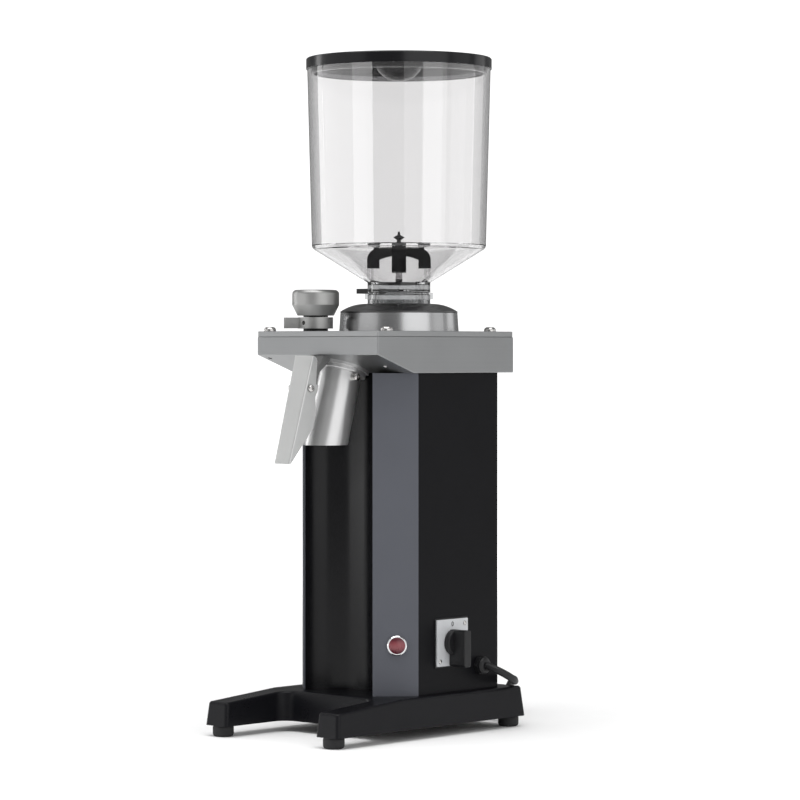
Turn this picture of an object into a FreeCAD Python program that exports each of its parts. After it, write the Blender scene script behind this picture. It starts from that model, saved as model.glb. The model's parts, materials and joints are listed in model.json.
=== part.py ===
"""Shop burr coffee grinder: clear hopper, burr chamber on a cast head, motor column, forked base.

Millimetres, +Z up. The origin is on the surface the feet stand on, straight below the burr axis.
The spout and the user are on the -Y side, the switch and the mains lead on the +X side.
"""
import FreeCAD, Part
import math
import os

V = FreeCAD.Vector
os.makedirs("parts", exist_ok=True)

# ---- driving dimensions -------------------------------------------------------------------------

# Base: a forked casting with two legs towards the user
BASE_BOTTOM = 10.5
BASE_TOP = 39.5
LEG_FRONT_TOP = 32.8
LEG_SLOPE_START = -88.0
BASE_HALF_BOTTOM = 86.9
BASE_HALF_TOP = 84.4
BASE_FRONT_BOTTOM = -178.2
BASE_FRONT_TOP = -175.2
BASE_REAR_BOTTOM = 88.2
BASE_REAR_TOP = 84.8
LEG_INNER_BOTTOM = 57.7
LEG_INNER_TOP = 59.5
BRIDGE_FRONT_BOTTOM = -99.8
BRIDGE_FRONT_TOP = -97.4
BASE_WALL = 6.0
FOOT_RADIUS = 10.0
FOOT_X = 72.0
FOOT_FRONT_Y = -168.0
FOOT_REAR_Y = 79.0

# Column: an eight-sided housing with a concave front
COLUMN_HALF = 75.9
COLUMN_FRONT = -86.7
COLUMN_CHAMFER = 30.6
COLUMN_SIDE_REAR = 58.2
COLUMN_REAR = 79.0
COLUMN_TOP = 343.8
CONCAVE_DEPTH = 36.0
SHEET = 2.0

# Head: a cast box with a sloped front underside
HEAD_HALF = 78.7
HEAD_FRONT = -115.8
HEAD_REAR = 79.2
HEAD_SPLIT = 378.0
HEAD_TOP = 383.6
HEAD_FRONT_BOTTOM = 361.1
SLOPE_END_Y = -65.5
HEAD_WALL = 5.0
SLOPE_DEG = math.degrees(math.atan2(HEAD_FRONT_BOTTOM - COLUMN_TOP, SLOPE_END_Y - HEAD_FRONT))

# Grinding chamber, adjusting gear and burrs, all about the burr axis
CHAMBER_RADIUS = 47.0
CHAMBER_WALL_TOP = 370.5
RING_TOP = 402.0
RING_RADIUS_BOTTOM = 58.0
RING_RADIUS_TOP = 56.8
RING_BORE = 53.0
DOME_TOP = 410.4
NECK_RADIUS = 30.5
BURR_RADIUS = 40.0
GEAR_MODULE = 2.0
RING_TEETH = 68
PINION_TEETH = 17
GEAR_BOTTOM = 371.0
GEAR_TOP = 377.4

# Adjusting knob, on a circle where its pinion meets the ring gear
KNOB_ANGLE = math.radians(242.0)
KNOB_DISTANCE = GEAR_MODULE * (RING_TEETH + PINION_TEETH) / 2
KNOB_X = KNOB_DISTANCE * math.cos(KNOB_ANGLE)
KNOB_Y = KNOB_DISTANCE * math.sin(KNOB_ANGLE)
KNOB_SHAFT_RADIUS = 6.0

# Hopper
HOPPER_FLOOR = 431.0
HOPPER_SHOULDER = 466.5
HOPPER_RIM = 637.8
HOPPER_RADIUS_SHOULDER = 84.5
HOPPER_RADIUS_RIM = 89.0
HOPPER_WALL = 3.0
GUARD_TURN = 42.3

# Spout and bag clamp
SPOUT_RADIUS = 20.6
SPOUT_BORE = 18.8
SPOUT_TILT = math.radians(16.5)
SPOUT_BOTTOM_Y = -103.3
SPOUT_BOTTOM_Z = 275.8
CLAMP_TOP_Y = -133.0
CLAMP_TOP_Z = 360.5
CLAMP_TILT = 16.5
CLAMP_LENGTH = 105.2
CLAMP_HALF_TOP = 11.75
CLAMP_HALF_BOTTOM = 10.1
PIVOT_Y = -135.7
PIVOT_Z = 329.5

# Motor
SHAFT_RADIUS = 7.0
BEARING_RADIUS = 15.0
STATOR_RADIUS = 44.0

# Switch, push button and mains lead
SWITCH_Y = -10.2
SWITCH_Z = 87.5
SWITCH_PLATE = 44.2
BUTTON_Z = 87.4
BUTTON_RADIUS = 7.8
BUTTON_SHIFT = 0.9
GLAND_Y = 32.5
GLAND_Z = 62.5
GLAND_END = 84.5
LEAD_DIAMETER = 7.2
LEAD_RADIUS = LEAD_DIAMETER / 2
COIL_X = -61.0
COIL_Y = 156.0
COIL_MID_RADIUS = 40.0
COIL_LAYERS = 3
PLUG_RADIUS = 17.0
PLUG_ANGLE = math.radians(-47.8)

UP = V(0, 0, 1)
ROOT_HALF = math.sqrt(0.5)


# ---- small helpers ------------------------------------------------------------------------------

def flat_prism(points, z_low, z_high):
    """Upright prism on a plan outline of (x, y) points."""
    corners = [V(x, y, z_low) for x, y in points]
    face = Part.Face(Part.makePolygon(corners + corners[:1]))
    return face.extrude(V(0, 0, z_high - z_low))


def side_prism(points, x_low, x_high):
    """Prism along X on a side outline of (y, z) points."""
    corners = [V(x_low, y, z) for y, z in points]
    face = Part.Face(Part.makePolygon(corners + corners[:1]))
    return face.extrude(V(x_high - x_low, 0, 0))


def turned(profile, x=0.0, y=0.0):
    """Solid of revolution about the vertical through (x, y) of a closed (radius, z) outline."""
    corners = [V(x + r, y, z) for r, z in profile]
    face = Part.Face(Part.makePolygon(corners + corners[:1]))
    return face.revolve(V(x, y, 0), UP, 360)


def tube(r_outer, r_inner, z_low, z_high, x=0.0, y=0.0):
    """Upright tube."""
    outer = Part.makeCylinder(r_outer, z_high - z_low, V(x, y, z_low))
    return outer.cut(Part.makeCylinder(r_inner, z_high - z_low, V(x, y, z_low)))


def disc(radius, z_low, z_high, x=0.0, y=0.0):
    """Upright cylinder."""
    return Part.makeCylinder(radius, z_high - z_low, V(x, y, z_low))


def block(x_low, x_high, y_low, y_high, z_low, z_high):
    """Box between two corners."""
    return Part.makeBox(x_high - x_low, y_high - y_low, z_high - z_low, V(x_low, y_low, z_low))


def placed(shape, base, direction):
    """Copy of a shape built up the Z axis, stood on base and pointed along direction."""
    moved = shape.copy()
    moved.Placement = FreeCAD.Placement(base, FreeCAD.Rotation(UP, direction))
    return moved


def turned_about(shape, x, y, degrees):
    """Copy of a shape turned about the vertical through (x, y)."""
    moved = shape.copy()
    moved.rotate(V(x, y, 0), UP, degrees)
    return moved


def fused(shapes):
    """All shapes as one solid."""
    whole = shapes[0].multiFuse(shapes[1:]) if len(shapes) > 1 else shapes[0]
    return whole.removeSplitter()


def edges_where(shape, test):
    """Edges whose two end points both pass a test."""
    return [e for e in shape.Edges if len(e.Vertexes) == 2 and all(test(v.Point) for v in e.Vertexes)]


def upright_edges(shape, test=lambda point: True):
    """Edges that run mostly up and down."""
    found = []
    for edge in edges_where(shape, test):
        a, b = edge.Vertexes[0].Point, edge.Vertexes[1].Point
        if abs(a.z - b.z) > 3 * math.hypot(a.x - b.x, a.y - b.y) and abs(a.z - b.z) > 1:
            found.append(edge)
    return found


def pan_head(radius, height, shank_radius, shank_length):
    """Domed screw pointing down: the head stands on z = 0 with a hexagon socket in its top."""
    head = Part.makeCylinder(radius, height)
    rim = [e for e in head.Edges if e.Length > 1 and abs(e.BoundBox.ZMin - height) < 1e-6]
    head = head.makeFillet(height * 0.75, rim[:1])
    socket = hexagon(radius * 0.42, height * 0.45, height)
    shank = Part.makeCylinder(shank_radius, shank_length, V(0, 0, -shank_length))
    return fused([head.cut(socket), shank])


def hexagon(radius, z_low, z_high, turn=0.0):
    """Hexagonal prism up the Z axis."""
    points = []
    for k in range(6):
        angle = math.radians(60 * k + turn)
        points.append((radius * math.cos(angle), radius * math.sin(angle)))
    return flat_prism(points, z_low, z_high)


def toothed(teeth, z_low, z_high, phase=0.0):
    """External spur gear blank with straight-flanked teeth about the Z axis."""
    pitch_radius = GEAR_MODULE * teeth / 2
    root = pitch_radius - 1.3 * GEAR_MODULE
    tip = pitch_radius + 0.75 * GEAR_MODULE
    step = 2 * math.pi / teeth
    points = []
    for k in range(teeth):
        middle = k * step + phase
        for radius, part in ((root, -0.34), (tip, -0.11), (tip, 0.11), (root, 0.34)):
            angle = middle + part * step
            points.append((radius * math.cos(angle), radius * math.sin(angle)))
    return flat_prism(points, z_low, z_high)


# ---- base ---------------------------------------------------------------------------------------

def base_outline(z, half, front, rear, inner, bridge):
    """Closed fork outline at one height."""
    points = [(-half, rear), (half, rear), (half, front), (inner, front),
              (inner, bridge), (-inner, bridge), (-inner, front), (-half, front)]
    corners = [V(x, y, z) for x, y in points]
    return Part.makePolygon(corners + corners[:1])


def make_base_frame():
    """Forked casting: drafted sides, sloping leg tops, hollow below, bosses for the feet."""
    low = base_outline(BASE_BOTTOM, BASE_HALF_BOTTOM, BASE_FRONT_BOTTOM, BASE_REAR_BOTTOM,
                       LEG_INNER_BOTTOM, BRIDGE_FRONT_BOTTOM)
    high = base_outline(BASE_TOP, BASE_HALF_TOP, BASE_FRONT_TOP, BASE_REAR_TOP,
                        LEG_INNER_TOP, BRIDGE_FRONT_TOP)
    casting = Part.makeLoft([low, high], True, True)
    slope = (BASE_TOP - LEG_FRONT_TOP) / (LEG_SLOPE_START - BASE_FRONT_TOP)
    far_front = BASE_FRONT_BOTTOM - 20
    far_z = BASE_TOP - slope * (LEG_SLOPE_START - far_front)
    wedge = side_prism([(LEG_SLOPE_START, BASE_TOP), (far_front, far_z), (far_front, BASE_TOP + 20),
                        (LEG_SLOPE_START, BASE_TOP + 20)], -100, 100)
    casting = casting.cut(wedge)
    inner_corner = [e for e in upright_edges(casting)
                    if abs(abs(e.CenterOfMass.x) - 58.5) < 2 and abs(e.CenterOfMass.y + 98.5) < 3]
    casting = casting.makeFillet(14.0, inner_corner)
    outer_corner = [e for e in upright_edges(casting) if e.CenterOfMass.y > 70 or e.CenterOfMass.y < -165]
    casting = casting.makeFillet(4.0, outer_corner)
    rim = [e for e in casting.Edges if e.BoundBox.ZMin > LEG_FRONT_TOP - 1.5
           and e.BoundBox.YLength + e.BoundBox.XLength > 2
           and not (abs(e.CenterOfMass.y - LEG_SLOPE_START) < 0.5)]
    casting = casting.makeFillet(3.0, rim)
    leg_pocket_top = LEG_FRONT_TOP - BASE_WALL
    bridge_pocket_top = BASE_TOP - BASE_WALL
    outer_wall = BASE_HALF_TOP - BASE_WALL
    pockets = [block(-outer_wall, outer_wall, BRIDGE_FRONT_TOP + BASE_WALL, BASE_REAR_TOP - BASE_WALL,
                     BASE_BOTTOM - 1, bridge_pocket_top)]
    for side in (-1, 1):
        x_a, x_b = sorted((side * (LEG_INNER_TOP + BASE_WALL - 1), side * outer_wall))
        pockets.append(block(x_a, x_b, BASE_FRONT_TOP + BASE_WALL, BRIDGE_FRONT_TOP + BASE_WALL,
                             BASE_BOTTOM - 1, leg_pocket_top))
    for pocket in pockets:
        casting = casting.cut(pocket)
    envelope = Part.makeLoft([low, high], True, True).cut(wedge)
    bosses = []
    for side in (-1, 1):
        for y in (FOOT_FRONT_Y + 3, FOOT_REAR_Y - 4):
            bosses.append(disc(8.5, BASE_BOTTOM, leg_pocket_top + 1, side * FOOT_X, y).common(envelope))
    return fused([casting] + bosses)


def make_rubber_feet():
    """Four rubber feet with a rounded tread and a narrow neck."""
    profile = [(0, 0), (7.4, 0), (8.9, 0.6), (9.8, 1.9), (FOOT_RADIUS, 3.6), (FOOT_RADIUS, 9.0),
               (9.6, 9.4), (9.6, BASE_BOTTOM), (0, BASE_BOTTOM)]
    return [turned(profile, side * FOOT_X, y) for side in (-1, 1) for y in (FOOT_FRONT_Y, FOOT_REAR_Y)]


# ---- column -------------------------------------------------------------------------------------

CONCAVE_CHORD = COLUMN_HALF - COLUMN_CHAMFER
CONCAVE_RADIUS = (CONCAVE_CHORD ** 2 + CONCAVE_DEPTH ** 2) / (2 * CONCAVE_DEPTH)
CONCAVE_Y = COLUMN_FRONT + CONCAVE_DEPTH - CONCAVE_RADIUS
CORNER_X = COLUMN_HALF - COLUMN_CHAMFER / 2
CORNER_Y = COLUMN_FRONT + COLUMN_CHAMFER / 2
CORNER_NORMAL = V(ROOT_HALF, -ROOT_HALF, 0)


def corner_plate(side):
    """Plan of one grey corner panel as a plate, before trimming."""
    inward = SHEET * ROOT_HALF
    reach = 6.0
    a = (CONCAVE_CHORD, COLUMN_FRONT)
    b = (COLUMN_HALF, COLUMN_FRONT + COLUMN_CHAMFER)
    points = [a, b, (b[0] - inward, b[1] + inward), (a[0] - inward - reach, a[1] + inward - reach),
              (a[0] - reach, a[1] - reach)]
    plate = flat_prism([(side * x, y) for x, y in points], BASE_TOP, COLUMN_TOP)
    front_cut = block(-100, 100, COLUMN_FRONT - 20, COLUMN_FRONT, BASE_TOP - 1, COLUMN_TOP + 1)
    return plate.cut(front_cut).cut(disc(CONCAVE_RADIUS, BASE_TOP, COLUMN_TOP, 0, CONCAVE_Y))


def make_front_panel():
    """Concave sheet between the two corner panels."""
    arc = tube(CONCAVE_RADIUS + SHEET, CONCAVE_RADIUS, BASE_TOP, COLUMN_TOP, 0, CONCAVE_Y)
    front_cut = block(-100, 100, -300, COLUMN_FRONT, BASE_TOP - 1, COLUMN_TOP + 1)
    arc = arc.cut(front_cut)
    for side in (-1, 1):
        arc = arc.cut(corner_plate(side))
        beyond = flat_prism([(side * CONCAVE_CHORD, COLUMN_FRONT), (side * 100, COLUMN_FRONT + 54.7),
                             (side * 100, COLUMN_FRONT - 20), (side * CONCAVE_CHORD, COLUMN_FRONT - 20)],
                            BASE_TOP - 1, COLUMN_TOP + 1)
        arc = arc.cut(beyond)
    return max(arc.Solids, key=lambda solid: solid.Volume)


def shell_outline(inset):
    """Side, rear and rear-corner outline, open to the front."""
    rear_chamfer = COLUMN_REAR - COLUMN_SIDE_REAR
    half, rear = COLUMN_HALF - inset, COLUMN_REAR - inset
    cut = rear_chamfer - inset * (2 - math.sqrt(2))
    start = COLUMN_FRONT + COLUMN_CHAMFER
    return [(half, start), (half, rear - cut), (half - cut, rear)]


def make_body_shell():
    """One bent sheet round the sides and the back, with the switch, gland and service openings."""
    outer = shell_outline(0)
    inner = shell_outline(SHEET)
    right = outer + [(-x, y) for x, y in reversed(outer)]
    left = [(-x, y) for x, y in inner] + list(reversed(inner))
    shell = flat_prism(right + left, BASE_TOP, COLUMN_TOP)
    x_axis = V(1, 0, 0)
    shell = shell.cut(Part.makeCylinder(14, 10, V(COLUMN_HALF - 5, SWITCH_Y, SWITCH_Z), x_axis))
    shell = shell.cut(Part.makeCylinder(7.5, 10, V(COLUMN_HALF - 5, GLAND_Y, GLAND_Z), x_axis))
    return shell.cut(block(-42, 42, COLUMN_REAR - 3, COLUMN_REAR + 1, 72, 298))


def make_corner_panel(side, shell):
    """Grey corner panel; the right-hand one is bored for the push button."""
    panel = corner_plate(side).cut(shell)
    panel = max(panel.Solids, key=lambda solid: solid.Volume)
    if side > 0:
        middle = V(CORNER_X + BUTTON_SHIFT, CORNER_Y + BUTTON_SHIFT, BUTTON_Z)
        bore = Part.makeCylinder(8.6, 10, middle - CORNER_NORMAL * 5, CORNER_NORMAL)
        panel = panel.cut(bore)
    return panel


COVER_SCREWS = [(side * 45.0, z) for side in (-1, 1) for z in (66.0, 185.0, 304.0)]


def make_rear_cover():
    """Service cover with two banks of cooling slots."""
    cover = block(-50, 50, COLUMN_REAR, COLUMN_REAR + 1.6, 60, 310)
    cover = cover.makeFillet(4.0, [e for e in cover.Edges if e.BoundBox.YLength > 1 and e.Length < 2])
    slots = []
    for bank in (92.0, 216.0):
        for row in range(9):
            z = bank + row * 8.0
            slots.append(block(-32, 32, COLUMN_REAR - 1, COLUMN_REAR + 3, z, z + 3.6))
    cover = cover.cut(Part.makeCompound(slots))
    holes = [Part.makeCylinder(1.7, 5, V(x, COLUMN_REAR - 1, z), V(0, 1, 0)) for x, z in COVER_SCREWS]
    return cover.cut(Part.makeCompound(holes))


def make_rear_cover_screws():
    """Six domed screws through the service cover."""
    screw = pan_head(3.3, 2.0, 1.65, 1.5)
    return [placed(screw, V(x, COLUMN_REAR + 1.6, z), V(0, 1, 0)) for x, z in COVER_SCREWS]


# ---- head ---------------------------------------------------------------------------------------

def spout_axis_point(distance):
    """Point on the spout's axis, measured up from its lower end."""
    return V(0, SPOUT_BOTTOM_Y + distance * math.sin(SPOUT_TILT),
             SPOUT_BOTTOM_Z + distance * math.cos(SPOUT_TILT))


SPOUT_UP = V(0, math.sin(SPOUT_TILT), math.cos(SPOUT_TILT))
SLOPE = math.radians(SLOPE_DEG)
SLOPE_NORMAL = V(0, -math.sin(SLOPE), -math.cos(SLOPE))
SPOUT_MOUTH = 77.0
SLOPE_HOLE_X = -71.0
SLOPE_HOLE_Y = -106.0
PLATE_SCREWS = [(-70.0, -107.0), (70.0, -94.0), (70.0, 54.0), (-70.0, 60.0)]


def slope_z(y):
    """Height of the sloped underside at one y."""
    return HEAD_FRONT_BOTTOM - (y - HEAD_FRONT) * math.tan(SLOPE)


def make_head_casting():
    """Cast box: chamber wall, outlet duct to the spout, screw bosses, bearing hole."""
    outer = side_prism([(HEAD_FRONT, HEAD_FRONT_BOTTOM), (SLOPE_END_Y, COLUMN_TOP), (HEAD_REAR, COLUMN_TOP),
                        (HEAD_REAR, HEAD_SPLIT), (HEAD_FRONT, HEAD_SPLIT)], -HEAD_HALF, HEAD_HALF)
    corners = upright_edges(outer)
    outer = outer.makeFillet(1.2, corners)
    under = [e for e in outer.Edges if e.BoundBox.XLength > 100 and e.BoundBox.ZMax < HEAD_FRONT_BOTTOM + 2]
    outer = outer.makeFillet(1.0, under)
    floor = COLUMN_TOP + HEAD_WALL + 0.5
    inner = side_prism([(HEAD_FRONT + HEAD_WALL, HEAD_FRONT_BOTTOM + 4), (SLOPE_END_Y + 1.5, floor),
                        (HEAD_REAR - HEAD_WALL, floor), (HEAD_REAR - HEAD_WALL, HEAD_SPLIT + 1),
                        (HEAD_FRONT + HEAD_WALL, HEAD_SPLIT + 1)],
                       -HEAD_HALF + HEAD_WALL, HEAD_HALF - HEAD_WALL)
    casting = outer.cut(inner)
    chamber = tube(CHAMBER_RADIUS + 5, CHAMBER_RADIUS, floor - 1, CHAMBER_WALL_TOP)
    duct = block(-18, 18, -102, -40, floor - 1, CHAMBER_WALL_TOP - 1).common(outer)
    bosses = [disc(6.5, floor - 1, HEAD_SPLIT, x, y).common(outer) for x, y in PLATE_SCREWS]
    casting = fused([casting, chamber, duct] + bosses)
    passage = block(-14, 14, -98, -38, floor + 1, CHAMBER_WALL_TOP - 4)
    bore = Part.makeCylinder(SPOUT_RADIUS, 12, spout_axis_point(SPOUT_MOUTH - 12), SPOUT_UP)
    throat = Part.makeCylinder(SPOUT_BORE - 5, 16, spout_axis_point(SPOUT_MOUTH - 4), SPOUT_UP)
    casting = casting.cut(passage.cut(disc(CHAMBER_RADIUS - 1, floor, CHAMBER_WALL_TOP)))
    casting = casting.cut(disc(CHAMBER_RADIUS, floor, CHAMBER_WALL_TOP + 1)).cut(bore).cut(throat)
    casting = casting.cut(disc(BEARING_RADIUS, COLUMN_TOP - 1, floor + 1))
    for x, y in PLATE_SCREWS:
        casting = casting.cut(disc(2.5, HEAD_SPLIT - 14, HEAD_SPLIT + 1, x, y))
    hole_start = V(SLOPE_HOLE_X, SLOPE_HOLE_Y, slope_z(SLOPE_HOLE_Y)) - SLOPE_NORMAL * 2.5
    return casting.cut(Part.makeCylinder(2.2, 5, hole_start, SLOPE_NORMAL))


def make_top_plate():
    """Ground plate that closes the head, bored for the chamber, the knob shaft and four screws."""
    inset = 0.3
    plate = block(-HEAD_HALF + inset, HEAD_HALF - inset, HEAD_FRONT + inset, HEAD_REAR - inset - 0.4,
                  HEAD_SPLIT, HEAD_TOP)
    plate = plate.makeFillet(1.2, upright_edges(plate))
    top_rim = [e for e in plate.Edges if e.BoundBox.ZMin > HEAD_TOP - 0.1]
    plate = plate.makeFillet(0.5, top_rim)
    low_rim = [e for e in plate.Edges if e.BoundBox.ZMax < HEAD_SPLIT + 0.1]
    plate = plate.makeChamfer(0.5, low_rim)
    plate = plate.cut(disc(RING_BORE, HEAD_SPLIT, HEAD_TOP))
    plate = plate.cut(disc(KNOB_SHAFT_RADIUS + 0.08, HEAD_SPLIT, HEAD_TOP, KNOB_X, KNOB_Y))
    for x, y in PLATE_SCREWS:
        plate = plate.cut(disc(2.6, HEAD_SPLIT, HEAD_TOP, x, y))
    return plate


def make_top_plate_screws():
    """Four large domed screws in the top plate."""
    screw = pan_head(5.8, 4.2, 2.5, 16)
    return [placed(screw, V(x, y, HEAD_TOP), UP) for x, y in PLATE_SCREWS]


def make_chamber_ring():
    """Polished steel ring that stands on the top plate round the burrs."""
    return turned([(RING_RADIUS_BOTTOM, HEAD_TOP), (RING_RADIUS_TOP + 0.05, RING_TOP - 0.6),
                   (RING_RADIUS_TOP - 0.5, RING_TOP), (RING_BORE, RING_TOP), (RING_BORE, HEAD_TOP)])


DOME_BORE = 25.2


def make_dome_cap():
    """Dark domed cover with four spanner holes and the socket for the hopper's neck."""
    rim = RING_RADIUS_TOP + 0.2
    edges = [
        Part.LineSegment(V(rim, 0, RING_TOP), V(rim, 0, RING_TOP + 0.9)).toShape(),
        Part.Arc(V(rim, 0, RING_TOP + 0.9), V(46.5, 0, RING_TOP + 6.1),
                 V(NECK_RADIUS, 0, DOME_TOP)).toShape(),
        Part.makePolygon([V(NECK_RADIUS, 0, DOME_TOP), V(DOME_BORE, 0, DOME_TOP), V(DOME_BORE, 0, 394.5),
                          V(28.5, 0, 394.5), V(28.5, 0, 406.0), V(44.0, 0, 404.2), V(51.5, 0, RING_TOP),
                          V(rim, 0, RING_TOP)]),
    ]
    outline = Part.Wire(Part.__sortEdges__([e for shape in edges for e in shape.Edges]))
    cap = Part.Face(outline).revolve(V(0, 0, 0), UP, 360)
    for k in range(4):
        angle = math.radians(GUARD_TURN + 90 * k)
        cap = cap.cut(disc(2.6, RING_TOP + 4.6, DOME_TOP, 43 * math.cos(angle), 43 * math.sin(angle)))
    return cap


# ---- burrs and adjustment -----------------------------------------------------------------------

CARRIER_RADIUS = 50.0
BURR_TOP = 376.6
BURR_SCREW = 1.8


def make_adjusting_ring():
    """Toothed ring pressed on the upper burr carrier."""
    ring = toothed(RING_TEETH, GEAR_BOTTOM, GEAR_TOP)
    return ring.cut(disc(CARRIER_RADIUS, GEAR_BOTTOM - 1, GEAR_TOP + 1))


def make_upper_burr_carrier():
    """Stepped carrier that hangs the upper burr below the hopper's throat."""
    carrier = turned([(26.5, BURR_TOP), (40.6, BURR_TOP), (40.6, 371.4), (CARRIER_RADIUS, 371.4),
                      (CARRIER_RADIUS, 388.0), (36.0, 391.6), (26.5, 391.6)])
    for k in range(3):
        angle = math.radians(120 * k + 15)
        carrier = carrier.cut(disc(BURR_SCREW, BURR_TOP, 384.0, 32 * math.cos(angle), 32 * math.sin(angle)))
    return carrier


def burr(z_low, z_high, teeth_up):
    """Flat burr: a steel ring with radial cutting grooves on one face and three screw holes."""
    ring = tube(BURR_RADIUS, 25.0, z_low, z_high)
    face_z = z_high - 1.6 if teeth_up else z_low
    groove = block(24, BURR_RADIUS - 1.5, -0.9, 0.9, face_z, face_z + 1.6)
    grooves = []
    for k in range(24):
        one = turned_about(groove, 0, 0, 15 * k + 4)
        grooves.append(one)
    ring = ring.cut(Part.makeCompound(grooves))
    for k in range(3):
        angle = math.radians(120 * k + 15)
        ring = ring.cut(disc(BURR_SCREW, z_low - 1, z_high + 1, 32 * math.cos(angle), 32 * math.sin(angle)))
    return ring


def burr_screws(z_start, up):
    """Three countersunk burr screws."""
    screws = []
    for k in range(3):
        angle = math.radians(120 * k + 15)
        x, y = 32 * math.cos(angle), 32 * math.sin(angle)
        step = 1 if up else -1
        screws.append(disc(BURR_SCREW, *sorted((z_start, z_start + step * 13.0)), x, y))
    return screws


def make_lower_burr_carrier():
    """Rotating carrier with four sweeper arms that push the grounds to the outlet."""
    plate = turned([(SHAFT_RADIUS, 353.0), (39.5, 353.0), (39.5, 360.0), (24.6, 360.0), (24.6, 362.5),
                    (14.0, 366.0), (SHAFT_RADIUS, 366.0)])
    arm = block(38.5, CHAMBER_RADIUS - 1.5, -3, 3, 352.0, 359.0)
    arms = [turned_about(arm, 0, 0, 90 * k) for k in range(4)]
    carrier = fused([plate] + arms)
    for k in range(3):
        angle = math.radians(120 * k + 15)
        carrier = carrier.cut(disc(BURR_SCREW, 353.0, 360.0, 32 * math.cos(angle), 32 * math.sin(angle)))
    return carrier


def make_knob_shaft():
    """Shaft with the pinion at its foot and a dark collar under the knob."""
    shaft = disc(KNOB_SHAFT_RADIUS, GEAR_BOTTOM - 1.0, 412.0, KNOB_X, KNOB_Y)
    collar = disc(11.85, 397.4, 398.8, KNOB_X, KNOB_Y)
    pinion = toothed(PINION_TEETH, GEAR_BOTTOM, GEAR_TOP)
    mesh_turn = math.degrees(KNOB_ANGLE) + 180.0 + 180.0 / PINION_TEETH
    ring_phase = math.degrees(KNOB_ANGLE) % (360.0 / RING_TEETH)
    mesh_turn += ring_phase * RING_TEETH / PINION_TEETH
    pinion.rotate(V(0, 0, 0), UP, mesh_turn)
    pinion.translate(V(KNOB_X, KNOB_Y, 0))
    return fused([shaft, collar, pinion])


def make_adjusting_knob():
    """Satin aluminium knob, waisted below and rounded at the top edge."""
    knob = turned([(0, 398.8), (17.6, 398.8), (22.6, 409.0), (22.6, 423.5), (0, 423.5)], KNOB_X, KNOB_Y)
    rim = [e for e in knob.Edges if abs(e.BoundBox.ZMin - 423.5) < 1e-4]
    knob = knob.makeFillet(4.2, rim)
    return knob.cut(disc(KNOB_SHAFT_RADIUS, 398.8, 412.0, KNOB_X, KNOB_Y))


LOCK_BOTTOM = 386.3
LOCK_TOP = 397.1
LOCK_RADIUS = 16.8


def make_lock_lever():
    """Clamping collar with a short flat arm and a set-screw hole in its side."""
    collar = disc(LOCK_RADIUS, LOCK_BOTTOM, LOCK_TOP, KNOB_X, KNOB_Y)
    arm = block(-30.6, -10, -5.0, 5.0, LOCK_BOTTOM + 0.2, LOCK_TOP - 0.2)
    arm = arm.makeFillet(0.8, upright_edges(arm, lambda point: point.x < -20))
    arm.rotate(V(0, 0, 0), UP, GUARD_TURN)
    arm.translate(V(KNOB_X, KNOB_Y, 0))
    lever = fused([collar, arm])
    lever = lever.cut(disc(KNOB_SHAFT_RADIUS + 0.08, LOCK_BOTTOM, LOCK_TOP, KNOB_X, KNOB_Y))
    middle = (LOCK_BOTTOM + LOCK_TOP) / 2
    return lever.cut(Part.makeCylinder(2.0, 14, V(KNOB_X, KNOB_Y - 5, middle), V(0, -1, 0)))


def make_lock_screw():
    """Set screw sunk in the lock lever's collar."""
    middle = (LOCK_BOTTOM + LOCK_TOP) / 2
    screw = Part.makeCylinder(2.0, 6.5, V(KNOB_X, KNOB_Y - 7.0, middle), V(0, -1, 0))
    socket = placed(hexagon(1.1, 0, 2.5), V(KNOB_X, KNOB_Y - 11.2, middle), V(0, -1, 0))
    return screw.cut(socket)


def make_knob_spacer():
    """Dark spacer between the top plate and the lock lever."""
    return tube(11.85, KNOB_SHAFT_RADIUS + 0.08, HEAD_TOP, LOCK_BOTTOM - 0.1, KNOB_X, KNOB_Y)


# ---- motor --------------------------------------------------------------------------------------

MOTOR_TOP = COLUMN_TOP
MOTOR_BOTTOM = 150.0


def make_motor_shaft():
    """Shaft from the fan at the bottom to the lower burr carrier at the top."""
    shaft = disc(SHAFT_RADIUS, 128.0, 368.0)
    nut = hexagon(11.0, 366.0, 371.0)
    return fused([shaft, nut])


def make_motor_bearings():
    """Three ball bearings: one in each end bell, one in the head's floor."""
    heights = (154.0, 330.0, COLUMN_TOP)
    return [tube(BEARING_RADIUS, SHAFT_RADIUS + 0.05, z, z + 7.0) for z in heights]


def make_rotor():
    """Laminated rotor with end rings."""
    core = tube(25.0, SHAFT_RADIUS, 200.0, 290.0)
    ends = [tube(22.0, SHAFT_RADIUS, 194.0, 200.0), tube(22.0, SHAFT_RADIUS, 290.0, 296.0)]
    return fused([core] + ends)


def make_stator():
    """Laminated stator with cooling ribs and the winding heads."""
    core = tube(STATOR_RADIUS - 2, 25.6, 195.0, 295.0)
    ribs = [turned_about(block(STATOR_RADIUS - 3, STATOR_RADIUS, -1.2, 1.2, 195.0, 295.0), 0, 0, 20 * k)
            for k in range(18)]
    windings = [turned([(29, z), (38, z), (38, z + 10), (35, z + 13), (29, z + 13)]) for z in (295.0,)]
    windings += [turned([(29, 195), (38, 195), (38, 185), (35, 182), (29, 182)])]
    return fused([core] + ribs + windings)


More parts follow.
